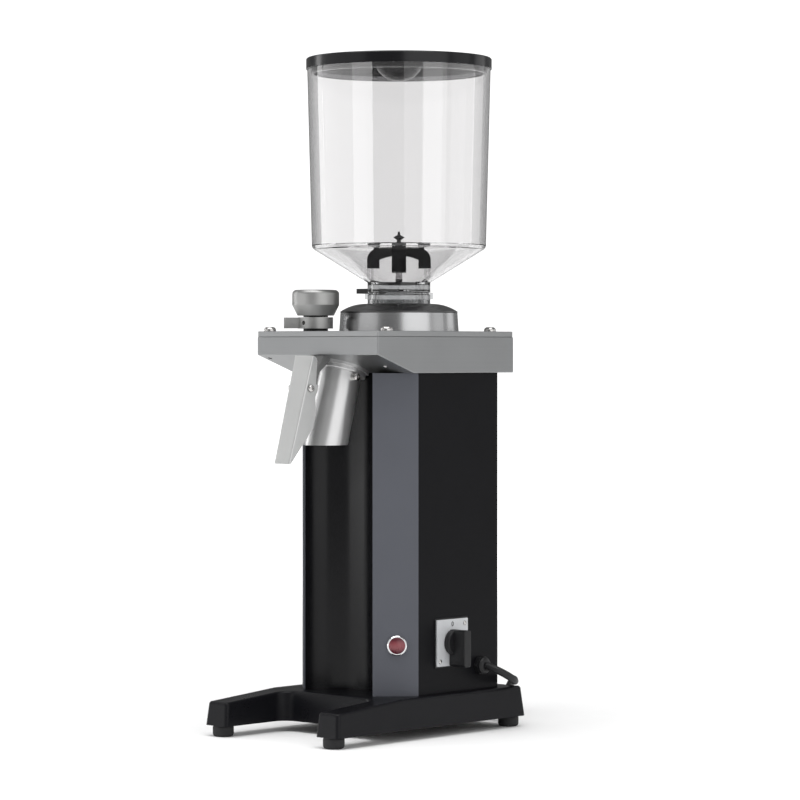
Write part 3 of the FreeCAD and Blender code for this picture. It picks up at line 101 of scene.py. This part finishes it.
def new_material(name):
    """Empty node material with its Principled shader."""
    material = bpy.data.materials.new(name)
    material.use_nodes = True
    return material, material.node_tree, material.node_tree.nodes["Principled BSDF"]


def add(tree, kind, **values):
    """New node; keyword names are its properties."""
    node = tree.nodes.new(kind)
    for key, value in values.items():
        setattr(node, key, value)
    return node


def noise(tree, coord, scale, detail):
    """Noise whose scale is a number, or an (x, y, z) for a grain that runs one way."""
    mapping = add(tree, "ShaderNodeMapping")
    mapping.inputs["Scale"].default_value = scale if isinstance(scale, tuple) else (scale,) * 3
    tree.links.new(coord, mapping.inputs["Vector"])
    node = add(tree, "ShaderNodeTexNoise")
    node.inputs["Scale"].default_value = 1.0
    node.inputs["Detail"].default_value = detail
    node.inputs["Roughness"].default_value = NOISE_ROUGHNESS
    tree.links.new(mapping.outputs["Vector"], node.inputs["Vector"])
    return node.outputs["Fac"]


def spread(tree, source, low, high, from_low=0.3, from_high=0.7):
    """Map a value from from_low..from_high, which holds most of a noise, onto low..high."""
    node = add(tree, "ShaderNodeMapRange")
    node.inputs["From Min"].default_value = from_low
    node.inputs["From Max"].default_value = from_high
    node.inputs["To Min"].default_value = low
    node.inputs["To Max"].default_value = high
    tree.links.new(source, node.inputs["Value"])
    return node.outputs["Result"]


def two_tone(tree, source, dark, light):
    """Colour between dark and light by a 0..1 value."""
    node = add(tree, "ShaderNodeMix", data_type="RGBA")
    node.inputs["A"].default_value = (*dark, 1)
    node.inputs["B"].default_value = (*light, 1)
    tree.links.new(source, node.inputs["Factor"])
    return node.outputs["Result"]


def add_bump(tree, shader, height, strength, depth):
    """Surface relief from a noise."""
    bump = add(tree, "ShaderNodeBump")
    bump.inputs["Strength"].default_value = strength
    bump.inputs["Distance"].default_value = depth
    tree.links.new(height, bump.inputs["Height"])
    tree.links.new(bump.outputs["Normal"], shader.inputs["Normal"])


def combine(tree, operation, first, second):
    """Two values joined by a Math operation."""
    node = add(tree, "ShaderNodeMath", operation=operation)
    tree.links.new(first, node.inputs[0])
    tree.links.new(second, node.inputs[1])
    return node.outputs["Value"]


def finish_of(name, colour, rough, metallic=0.0, spec=0.5, vary=0.08, grain=900.0, depth=0.00002,
              rough_vary=0.06, blotch=22.0, strength=0.35):
    """Opaque finish: blotchy colour and roughness at hand scale, fine grain bump at surface scale."""
    material, tree, shader = new_material(name)
    coord = add(tree, "ShaderNodeTexCoord").outputs["Object"]
    large = noise(tree, coord, blotch, 2.0)
    fine = noise(tree, coord, grain, 3.0)
    both = combine(tree, "ADD", spread(tree, large, 0.0, BLOTCH_SHARE), spread(tree, fine, 0.0, GRAIN_SHARE))
    dark = tuple(c * (1 - vary) for c in colour)
    light = tuple(c * (1 + vary) for c in colour)
    tree.links.new(two_tone(tree, both, dark, light), shader.inputs["Base Color"])
    roughness = spread(tree, both, rough - rough_vary, rough + rough_vary, 0.0, 1.0)
    tree.links.new(roughness, shader.inputs["Roughness"])
    add_bump(tree, shader, fine, strength, depth)
    shader.inputs["Metallic"].default_value = metallic
    shader.inputs["Specular IOR Level"].default_value = spec
    return material


def clear_plastic(name, colour, edge_colour, rough):
    """Clear moulded plastic with faint handling haze, greyer where it is seen edge-on."""
    material, tree, shader = new_material(name)
    coord = add(tree, "ShaderNodeTexCoord").outputs["Object"]
    haze = noise(tree, coord, 30.0, 3.0)
    fine = noise(tree, coord, (60.0, 60.0, 900.0), 2.0)
    tree.links.new(spread(tree, haze, rough, rough + 0.03), shader.inputs["Roughness"])
    light = tuple(min(1.0, c * 1.015) for c in colour)
    face = two_tone(tree, haze, colour, light)
    facing = add(tree, "ShaderNodeLayerWeight")
    facing.inputs["Blend"].default_value = 0.5
    rim = spread(tree, facing.outputs["Facing"], 0.0, 1.0, 0.45, 1.0)
    tint = add(tree, "ShaderNodeMix", data_type="RGBA")
    tint.inputs["B"].default_value = (*edge_colour, 1)
    tree.links.new(rim, tint.inputs["Factor"])
    tree.links.new(face, tint.inputs["A"])
    tree.links.new(tint.outputs["Result"], shader.inputs["Base Color"])
    add_bump(tree, shader, fine, 0.05, 0.00001)
    shader.inputs["Transmission Weight"].default_value = 1.0
    shader.inputs["IOR"].default_value = ACRYLIC_IOR
    return material


BRUSHED_SIDES = (6.0, 6.0, 1500.0)
BRUSHED_TOP = (6.0, 1500.0, 60.0)
MATERIALS = {
    "base_black": finish_of("base_enamel", (0.006, 0.006, 0.0075), 0.33, spec=0.16, grain=700.0,
                            depth=0.00006, strength=0.5, rough_vary=0.08),
    "rubber_black": finish_of("foot_rubber", (0.02, 0.02, 0.021), 0.7, spec=0.3, grain=1500.0),
    "column_black": finish_of("column_powder_coat", (0.004, 0.004, 0.005), 0.34, spec=0.09, grain=1600.0,
                              depth=0.00003, strength=0.4),
    "panel_grey": finish_of("panel_powder_coat", (0.082, 0.086, 0.101), 0.45, spec=0.22, grain=1600.0,
                            depth=0.00003, vary=0.04),
    "screw_steel": finish_of("screw_steel", (0.55, 0.54, 0.53), 0.22, metallic=1.0, grain=1200.0),
    "cast_aluminium": finish_of("head_aluminium", (0.285, 0.29, 0.294), 0.34, metallic=0.88,
                                grain=BRUSHED_SIDES, strength=0.2, vary=0.035, rough_vary=0.03),
    "ring_steel": finish_of("ring_steel", (0.50, 0.502, 0.507), 0.25, metallic=1.0,
                            grain=(40.0, 40.0, 2500.0), vary=0.04, rough_vary=0.03, depth=0.00001,
                            strength=0.15),
    "dome_black": finish_of("dome_black", (0.03, 0.03, 0.031), 0.3, spec=1.0, grain=1500.0),
    "gear_brass": finish_of("gear_brass", (0.60, 0.42, 0.18), 0.3, metallic=1.0),
    "burr_steel": finish_of("burr_steel", (0.40, 0.40, 0.41), 0.35, metallic=1.0),
    "carrier_alu": finish_of("carrier_aluminium", (0.55, 0.55, 0.55), 0.35, metallic=1.0),
    "shaft_steel": finish_of("shaft_steel", (0.48, 0.48, 0.49), 0.3, metallic=1.0),
    "motor_iron": finish_of("motor_iron", (0.08, 0.08, 0.085), 0.6, metallic=0.6,
                            grain=(20.0, 20.0, 2000.0)),
    "plastic_black": finish_of("black_plastic", (0.010, 0.010, 0.011), 0.4, spec=0.3, grain=1800.0,
                               depth=0.00004, strength=0.4),
    "plastic_grey": finish_of("grey_plastic", (0.35, 0.35, 0.34), 0.5),
    "spout_steel": finish_of("spout_steel", (0.60, 0.60, 0.60), 0.3, metallic=0.75,
                             grain=(1500.0, 1500.0, 200.0), vary=0.025, rough_vary=0.02, depth=0.00001,
                             strength=0.15, blotch=8.0),
    "lever_alu": finish_of("lever_aluminium", (0.58, 0.585, 0.58), 0.42, metallic=0.85, grain=1400.0,
                           depth=0.00003, vary=0.05),
    "knob_alu": finish_of("knob_aluminium", (0.37, 0.37, 0.365), 0.42, metallic=0.92,
                          grain=(60.0, 60.0, 1800.0), vary=0.03, rough_vary=0.03, depth=0.00001,
                          strength=0.15),
    "hopper_clear": clear_plastic("hopper_plastic", (0.80, 0.795, 0.797), (0.56, 0.56, 0.565), 0.01),
    "seal_pale": clear_plastic("seal_plastic", (0.20, 0.20, 0.205), (0.12, 0.12, 0.125), 0.04),
    "gloss_black": finish_of("lid_plastic", (0.006, 0.006, 0.007), 0.2, spec=0.32, grain=1200.0,
                             depth=0.000004, strength=0.1, rough_vary=0.03),
    "bezel_chrome": finish_of("bezel_chrome", (0.75, 0.75, 0.76), 0.12, metallic=1.0, vary=0.03),
    "button_red": finish_of("button_red", (0.19, 0.045, 0.05), 0.28, spec=0.5, vary=0.2, grain=500.0),
    "plate_silver": finish_of("plate_silver", (0.50, 0.51, 0.525), 0.45, metallic=0.2,
                              grain=(900.0, 900.0, 20.0), vary=0.05),
    "lead_black": finish_of("cable_sheath", (0.012, 0.012, 0.013), 0.48, spec=0.35, grain=1500.0),
}


def paint_glare_and_rim_shade(material, glare_colour, rim_shade_colour):
    """Painted highlight on the middle of the button and painted shade at its rim, by distance from the middle
    of the object's box.

    The lens faces between x and y, so a step across it counts in both of them and is scaled down.
    """
    tree = material.node_tree
    offset = add(tree, "ShaderNodeVectorMath", operation="SUBTRACT")
    offset.inputs[1].default_value = (0.5, 0.5, 0.5)
    tree.links.new(add(tree, "ShaderNodeTexCoord").outputs["Generated"], offset.inputs[0])
    scaled = add(tree, "ShaderNodeVectorMath", operation="MULTIPLY")
    scaled.inputs[1].default_value = (0.72, 0.72, 1.0)
    tree.links.new(offset.outputs["Vector"], scaled.inputs[0])
    reach = add(tree, "ShaderNodeVectorMath", operation="LENGTH")
    tree.links.new(scaled.outputs["Vector"], reach.inputs[0])
    rim = spread(tree, reach.outputs["Value"], 0.0, 1.0, 0.24, 0.46)
    colour = two_tone(tree, rim, glare_colour, rim_shade_colour)
    tree.links.new(colour, tree.nodes["Principled BSDF"].inputs["Base Color"])


# The red button gets a painted highlight in its middle and painted shade at its rim.
paint_glare_and_rim_shade(MATERIALS["button_red"], (0.30, 0.075, 0.085), (0.075, 0.006, 0.014))
# The neck and the ring under it get the hopper's clear plastic tinted darker: painted shade for the dark
# reflections in the thick collar.
MATERIALS["neck_shaded_clear"] = clear_plastic("neck_plastic_painted_shade", (0.55, 0.555, 0.56), (0.20, 0.20, 0.21), 0.02)
MATERIALS["plate_top"] = finish_of("plate_aluminium", (0.315, 0.32, 0.324), 0.34, metallic=0.88,
                                   grain=BRUSHED_TOP, strength=0.2, vary=0.035, rough_vary=0.03)
MATERIALS["concave_black"] = finish_of("concave_powder_coat", (0.004, 0.004, 0.005), 0.2, spec=0.22,
                                       grain=1600.0, strength=0.3)
MATERIALS["bracket_metal"] = finish_of("bracket_metal", (0.20, 0.20, 0.20), 0.4, metallic=0.7)

# Nodes that look different from the rest of their material slot; the neck's darker tint is painted shade
OWN_FINISH = {"top_plate": "plate_top", "front_panel": "concave_black", "lever_bracket": "bracket_metal",
              "hopper_neck": "neck_shaded_clear", "neck_base_ring": "neck_shaded_clear"}

SLOT_OF = {row["node"]: row["material_slot"] for row in frame["record"]["subparts"]}
for node_name, node in NODES.items():
    finish = MATERIALS[OWN_FINISH.get(node_name, SLOT_OF[node_name])]
    node.data.materials.clear()
    node.data.materials.append(finish)


# ---- pieces -------------------------------------------------------------------------------------

def object_from(name, mesh, material):
    """New object from a bmesh, linked to the scene."""
    data = bpy.data.meshes.new(name)
    mesh.to_mesh(data)
    mesh.free()
    data.materials.append(material)
    obj = bpy.data.objects.new(name, data)
    bpy.context.collection.objects.link(obj)
    return obj


def piece_from(name, mesh, body, slot_name, smooth=True):
    """New piece from a closed bmesh, riding on one body."""
    bmesh.ops.recalc_face_normals(mesh, faces=mesh.faces)
    obj = object_from(name, mesh, MATERIALS[slot_name])
    for polygon in obj.data.polygons:
        polygon.use_smooth = smooth
    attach(obj, body)
    return obj


def skin(mesh, loops, pairs):
    """Quads between pairs of closed loops of equally many points."""
    for a, b in pairs:
        count = len(loops[a])
        for k in range(count):
            n = (k + 1) % count
            mesh.faces.new((loops[a][k], loops[b][k], loops[b][n], loops[a][n]))


# The mains lead runs from the gland round the column, down behind the base, into its coil and up to its plug.
LEAD_DIAMETER = 7.2
LEAD_ROUTE = [(84.5, 32.5, 62.5), (92.6, 33.5, 60.2), (99.1, 38.1, 56.6), (102.2, 45.4, 52.2),
              (101.2, 53.3, 48.4), (96.0, 60.8, 46.2), (88.7, 68.9, 45.8), (80.0, 78.6, 45.8),
              (70.3, 88.6, 44.9), (59.5, 97.0, 39.3), (49.8, 102.5, 29.1), (41.3, 105.7, 17.0),
              (29.5, 108.5, 8.1), (14.3, 110.0, 3.9), (-2.7, 110.4, 3.7), (-20.7, 110.9, 3.8),
              (-41.7, 111.9, 3.7)]

COIL_LOW, COIL_HIGH = (Vector(corner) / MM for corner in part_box("lead_coil"))
COIL_CENTRE = Vector(((COIL_LOW.x + COIL_HIGH.x) / 2, (COIL_LOW.y + COIL_HIGH.y) / 2, 0))
COIL_RADIUS = (COIL_HIGH.x - COIL_LOW.x) / 2 - LEAD_DIAMETER  # between its two windings side by side
COIL_TURNED = 4 * 360 + 317.8  # all angles of the coil are degrees
COIL_STEP = 22.5
COIL_MOVE = 60  # in which the winding moves over or climbs
COIL_INWARDS = ((300, 1), (900, -1), (1580, 1))  # where it moves inwards (1) or back outwards (-1)
COIL_CLIMBS = (560, 1240)
FLOOR_GAP = 0.1

# The plug lies on the coil. Its heading is from its pins to its cable end.
PLUG_HEADING = math.radians(-47.8)
PLUG_ALONG = Vector((math.cos(PLUG_HEADING), math.sin(PLUG_HEADING), 0))
PLUG_ASIDE = Vector((math.sin(PLUG_HEADING), -math.cos(PLUG_HEADING), 0))
PLUG_RADIUS = 17.0
PLUG_LOOP_CENTRE = COIL_CENTRE + PLUG_ALONG * 6.4
PLUG_LOOP_RADIUS = 30.0
PLUG_LOOP_HEIGHTS = (20.5, 25.5, 31.5, 36.8)
PLUG_END = PLUG_LOOP_CENTRE + PLUG_ASIDE * PLUG_LOOP_RADIUS + Vector((0, 0, COIL_HIGH.z + PLUG_RADIUS))


def eased(value):
    """Smooth step from 0 to 1, level before and after."""
    value = min(1.0, max(0.0, value))
    return value * value * (3 - 2 * value)


def coil_place(turned):
    """Radius and height of the lead's centre after so many degrees of winding."""
    inwards = sum(way * eased((turned - start) / COIL_MOVE) for start, way in COIL_INWARDS)
    climbed = sum(eased((turned - start) / COIL_MOVE) for start in COIL_CLIMBS)
    return COIL_RADIUS + LEAD_DIAMETER * (0.5 - inwards), FLOOR_GAP + LEAD_DIAMETER * (0.5 + climbed)


def coil_points():
    """Clockwise turns from the side next to the base to where the lead leaves for the plug."""
    points = []
    count = round(COIL_TURNED / COIL_STEP)
    for k in range(count + 1):
        turned = COIL_TURNED * k / count
        radius, height = coil_place(turned)
        angle = math.radians(270 - turned)
        points.append(COIL_CENTRE + Vector((radius * math.cos(angle), radius * math.sin(angle), height)))
    return points


def plug_points():
    """Tighter quarter turn that climbs from the coil's top to the plug, and the end inside the plug."""
    points = []
    for k, height in enumerate(PLUG_LOOP_HEIGHTS, start=1):
        angle = PLUG_HEADING - math.radians(COIL_STEP * k)
        around = Vector((math.cos(angle), math.sin(angle), 0)) * PLUG_LOOP_RADIUS
        points.append(PLUG_LOOP_CENTRE + around + Vector((0, 0, height)))
    return points + [PLUG_END - PLUG_ALONG * 8.0]


def make_lead():
    """The lead as one smooth curve with its coil."""
    points = LEAD_ROUTE + coil_points() + plug_points()
    data = bpy.data.curves.new("mains_cord", "CURVE")
    data.dimensions = "3D"
    data.bevel_depth = LEAD_DIAMETER / 2 * MM
    data.bevel_resolution = 5
    data.resolution_u = 6
    data.use_fill_caps = True
    spline = data.splines.new("NURBS")
    spline.points.add(len(points) - 1)
    for control, point in zip(spline.points, points):
        control.co = (*mm(*point), 1.0)
    spline.order_u = 3
    spline.use_endpoint_u = True
    data.materials.append(MATERIALS["lead_black"])
    cord = bpy.data.objects.new("mains_cord", data)
    bpy.context.collection.objects.link(cord)
    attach(cord, "housing")
    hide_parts("mains_lead", "lead_coil")
    return cord


def make_tie():
    """Flat tie round the coil's windings."""
    mesh = bmesh.new()
    half_length, thick, corner = 5.0, 1.1, 3.0
    right = LEAD_DIAMETER + 1.4 - corner
    bottom = 0.4 + corner
    top = COIL_HIGH.z + 0.3 - corner
    outline = []
    for x, z, start in ((right, top, 0), (-right, top, 90), (-right, bottom, 180), (right, bottom, 270)):
        for k in range(5):
            angle = math.radians(start + 90 * k / 4)
            outline.append((x + corner * math.cos(angle), z + corner * math.sin(angle), angle))
    rings = []
    turn = math.radians(70)
    for side in (-half_length, half_length):
        for inset in (0.0, thick):
            ring = []
            for x, z, angle in outline:
                radial = COIL_RADIUS + x - inset * math.cos(angle)
                px = COIL_CENTRE.x + radial * math.cos(turn) - side * math.sin(turn)
                py = COIL_CENTRE.y + radial * math.sin(turn) + side * math.cos(turn)
                ring.append(mesh.verts.new(mm(px, py, z - inset * math.sin(angle))))
            rings.append(ring)
    skin(mesh, rings, ((0, 2), (2, 3), (3, 1), (1, 0)))
    return piece_from("cord_tie", mesh, "housing", "plastic_black", smooth=False)


def turned_piece(name, base, axis, profile, body, slot_name, count=32):
    """Solid of revolution of (radius, height) points about an axis through base; ends closed on the axis."""
    mesh = bmesh.new()
    spin = Vector((0, 0, 1)).rotation_difference(axis.normalized()).to_matrix()
    rings = []
    for radius, height in profile:
        if radius == 0:
            rings.append([mesh.verts.new(mm(*(base + spin @ Vector((0, 0, height)))))])
            continue
        ring = []
        for k in range(count):
            angle = 2 * math.pi * k / count
            point = base + spin @ Vector((radius * math.cos(angle), radius * math.sin(angle), height))
            ring.append(mesh.verts.new(mm(*point)))
        rings.append(ring)
    for low, high in zip(rings, rings[1:]):
        for k in range(count):
            n = (k + 1) % count
            if len(low) == 1:
                mesh.faces.new((low[0], high[n], high[k]))
            elif len(high) == 1:
                mesh.faces.new((low[k], low[n], high[0]))
            else:
                mesh.faces.new((low[k], low[n], high[n], high[k]))
    return piece_from(name, mesh, body, slot_name)


PLATE_LOW, PLATE_HIGH = (Vector(corner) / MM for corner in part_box("switch_plate"))
SWITCH_CENTRE = Vector((PLATE_HIGH.x, (PLATE_LOW.y + PLATE_HIGH.y) / 2, (PLATE_LOW.z + PLATE_HIGH.z) / 2))
HEAD_LOW = Vector(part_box("head_casting")[0]) / MM
SLOPE_FRONT_Z = 361.1  # the head's sloped underside falls from here at its front edge
SLOPE_REAR_Y = -65.5  # to the head's lowest face here
OUTWARD = Vector((1, 0, 0))  # from the switch plate


def on_plate(right, up, rise):
    """Point over the switch plate, by its distances from the middle of the plate's face."""
    return SWITCH_CENTRE + Vector((rise, right, up))


def oval_ring(mesh, right, up, outer, inner, depth, count=24):
    """Flat ring on the plate between two ovals, each a (half width, half height)."""
    loops = []
    for half_w, half_h in (outer, inner):
        for rise in (0.0, depth):
            angles = [2 * math.pi * k / count for k in range(count)]
            points = [on_plate(right + half_w * math.cos(a), up + half_h * math.sin(a), rise) for a in angles]
            loops.append([mesh.verts.new(mm(*point)) for point in points])
    skin(mesh, loops, ((0, 1), (1, 3), (3, 2), (2, 0)))


def flat_bar(mesh, right, up, half_w, half_h, depth):
    """Flat rectangular bar on the plate."""
    corners = []
    for rise in (0.0, depth):
        for a, b in ((-1, -1), (1, -1), (1, 1), (-1, 1)):
            corners.append(mesh.verts.new(mm(*on_plate(right + half_w * a, up + half_h * b, rise))))
    for face in ((0, 1, 2, 3), (4, 5, 6, 7), (0, 1, 5, 4), (1, 2, 6, 5), (2, 3, 7, 6), (3, 0, 4, 7)):
        mesh.faces.new([corners[k] for k in face])


def make_switch_marks():
    """Raised 0 at the top of the switch plate and 1, a bar with a short flag, at its right."""
    mesh = bmesh.new()
    oval_ring(mesh, 0, 17.6, (1.5, 2.3), (0.8, 1.6), 0.15)
    flat_bar(mesh, 18.6, 0, 0.45, 2.3, 0.15)
    flat_bar(mesh, 18.0, 1.7, 0.35, 0.5, 0.14)
    return piece_from("switch_marks", mesh, "housing", "plastic_black", smooth=False)


def make_small_screws():
    """Domed screw heads: two on the switch plate's corners, one on the head's sloped underside."""
    dome = [(0, 1.1), (1.0, 1.0), (1.9, 0.6), (2.2, 0.0), (0, 0)]
    for name, right, up in (("plate_screw_low", -17.6, -17.4), ("plate_screw_high", 17.6, 17.4)):
        turned_piece(name, on_plate(right, up, 0), OUTWARD, dome, "housing", "screw_steel")
    slope = math.atan2(SLOPE_FRONT_Z - HEAD_LOW.z, SLOPE_REAR_Y - HEAD_LOW.y)
    x, y = 59.0, -84.0
    base = Vector((x, y, SLOPE_FRONT_Z - (y - HEAD_LOW.y) * math.tan(slope)))
    down = Vector((0, -math.sin(slope), -math.cos(slope)))
    turned_piece("slope_screw", base, down, dome, "housing", "screw_steel")


def make_plug_relief():
    """Moulded strain relief at the plug's cable end: a sleeve with ribs that widen towards the plug."""
    first, pitch, ribs = 0.8, 3.0, 6
    profile = [(0, first)]
    for k in range(ribs):
        low = first + pitch * k
        groove, crest = 4.9 + 0.1 * k, 6.0 + 0.12 * k
        profile += [(groove, low), (crest, low + 0.5), (crest, low + 1.7), (groove, low + 2.2)]
    profile.append((0, 18.2))
    return turned_piece("plug_relief", PLUG_END, -PLUG_ALONG, profile, "housing", "lead_black", count=24)


lead = make_lead()
tie = make_tie()
relief = make_plug_relief()
make_switch_marks()
make_small_screws()


# ---- floor, world and lights --------------------------------------------------------------------

FLOOR_HALF = 12.0
GLOW_START, GLOW_FULL = 0.6, 2.5  # distances from the middle of the floor
GLOW_STRENGTH = 0.85


def make_floor():
    """Wide pale floor, which glows with distance where it is seen directly or through the hopper."""
    mesh = bmesh.new()
    bmesh.ops.create_grid(mesh, x_segments=2, y_segments=2, size=FLOOR_HALF)
    material = finish_of("floor_pale", (0.93, 0.93, 0.93), 0.8, spec=0.1, vary=0.01, grain=60.0)
    tree = material.node_tree
    distance = add(tree, "ShaderNodeVectorMath", operation="LENGTH")
    tree.links.new(add(tree, "ShaderNodeTexCoord").outputs["Object"], distance.inputs[0])
    glow = add(tree, "ShaderNodeMapRange", interpolation_type="SMOOTHSTEP")
    glow.inputs["From Min"].default_value = GLOW_START
    glow.inputs["From Max"].default_value = GLOW_FULL
    glow.inputs["To Max"].default_value = GLOW_STRENGTH
    tree.links.new(distance.outputs["Value"], glow.inputs["Value"])
    shader = tree.nodes["Principled BSDF"]
    shader.inputs["Emission Color"].default_value = (1, 1, 1, 1)
    rays = add(tree, "ShaderNodeLightPath").outputs
    seen = combine(tree, "MAXIMUM", rays["Is Camera Ray"], rays["Is Transmission Ray"])
    strength = combine(tree, "MULTIPLY", glow.outputs["Result"], seen)
    tree.links.new(strength, shader.inputs["Emission Strength"])
    floor = object_from("floor", mesh, material)


# Strengths of the white surroundings
SEEN = 1.2
SEEN_AFTER_REFLECTION = 0.62
REFLECTED = 0.2
LIGHTING = 0.5


def make_world():
    """White surroundings: bright where seen, dimmer after a reflection inside the hopper's wall.

    They are dimmer as light on matt surfaces, and dimmest where glossy surfaces reflect them.
    """
    world = bpy.data.worlds.new("studio")
    bpy.context.scene.world = world
    world.use_nodes = True
    world.cycles.sampling_method = "NONE"
    tree = world.node_tree
    background = tree.nodes["Background"]
    background.inputs["Color"].default_value = (1.0, 1.0, 1.0, 1)
    rays = add(tree, "ShaderNodeLightPath").outputs

    def choose(switch, off, on):
        """off or on by a 0/1 switch; each is a number or a socket."""
        node = add(tree, "ShaderNodeMapRange")
        tree.links.new(switch, node.inputs["Value"])
        for name, value in (("To Min", off), ("To Max", on)):
            if isinstance(value, float):
                node.inputs[name].default_value = value
            else:
                tree.links.new(value, node.inputs[name])
        return node.outputs["Result"]

    through = choose(rays["Glossy Depth"], SEEN, SEEN_AFTER_REFLECTION)
    direct = choose(rays["Is Glossy Ray"], SEEN, REFLECTED)
    seen = choose(rays["Is Transmission Ray"], direct, through)
    tree.links.new(choose(rays["Is Diffuse Ray"], seen, LIGHTING), background.inputs["Strength"])


def make_softbox(name, azimuth, distance, height, size_x, size_y, radiance, aim_height):
    """Rectangular area light at an azimuth right of the camera, aimed at a height on the vertical axis."""
    turn = CAMERA_TURN + math.radians(azimuth)
    data = bpy.data.lights.new(name, "AREA")
    data.shape = "RECTANGLE"
    data.size = size_x
    data.size_y = size_y
    data.energy = radiance * math.pi * size_x * size_y
    light = bpy.data.objects.new(name, data)
    light.location = (math.sin(turn) * distance, -math.cos(turn) * distance, height)
    aim = Vector((0, 0, aim_height)) - light.location
    light.rotation_euler = aim.to_track_quat("-Z", "Y").to_euler()
    light.visible_camera = False
    light.visible_transmission = False
    bpy.context.collection.objects.link(light)
    return light


# Name, azimuth in degrees, distance, height, the panel's two sizes, radiance, aim height
SOFTBOXES = [
    ("box_right", 34, 2.0, 0.9, 2.1, 1.7, 1.2, 0.9),
    ("box_far_right", 83, 2.1, 0.85, 1.1, 1.6, 0.6, 0.85),
    ("box_rear_right", 119, 2.1, 0.85, 0.9, 1.5, 0.85, 0.85),
    ("box_left", -74, 2.0, 0.9, 2.6, 1.7, 0.52, 0.9),
    ("strip_left", -116, 2.0, 0.75, 0.4, 1.4, 3.4, 0.75),
    ("box_back_left", -138, 2.0, 1.9, 1.1, 0.9, 0.5, 0.3),
    ("strip_low", -67, 1.9, 0.14, 1.4, 0.26, 1.6, 0.14),
    ("box_top", -20, 0.5, 2.3, 2.2, 2.2, 3.0, 0.0),
]
HOPPER_SOFTBOXES = [
    ("hopper_right", 70, 2.0, 0.53, 3.3, 0.5, 2.4, 0.53),
    ("hopper_right_near", 42, 1.9, 0.53, 0.9, 0.5, 1.4, 0.53),
    ("hopper_left", -72, 2.0, 0.53, 3.3, 0.5, 2.9, 0.53),
    ("hopper_left_near", -46, 1.9, 0.53, 0.9, 0.5, 2.0, 0.53),
]


def make_lights():
    """Soft boxes round the grinder, and more that light only the clear hopper's walls."""
    for row in SOFTBOXES:
        make_softbox(*row)
    hopper_only = bpy.data.collections.new("hopper_only")
    hopper_only.objects.link(NODES["hopper_body"])
    for row in HOPPER_SOFTBOXES:
        make_softbox(*row).light_linking.receiver_collection = hopper_only


make_floor()
make_world()
make_lights()
scene = bpy.context.scene
scene.view_settings.view_transform = "Standard"
scene.view_settings.look = "None"
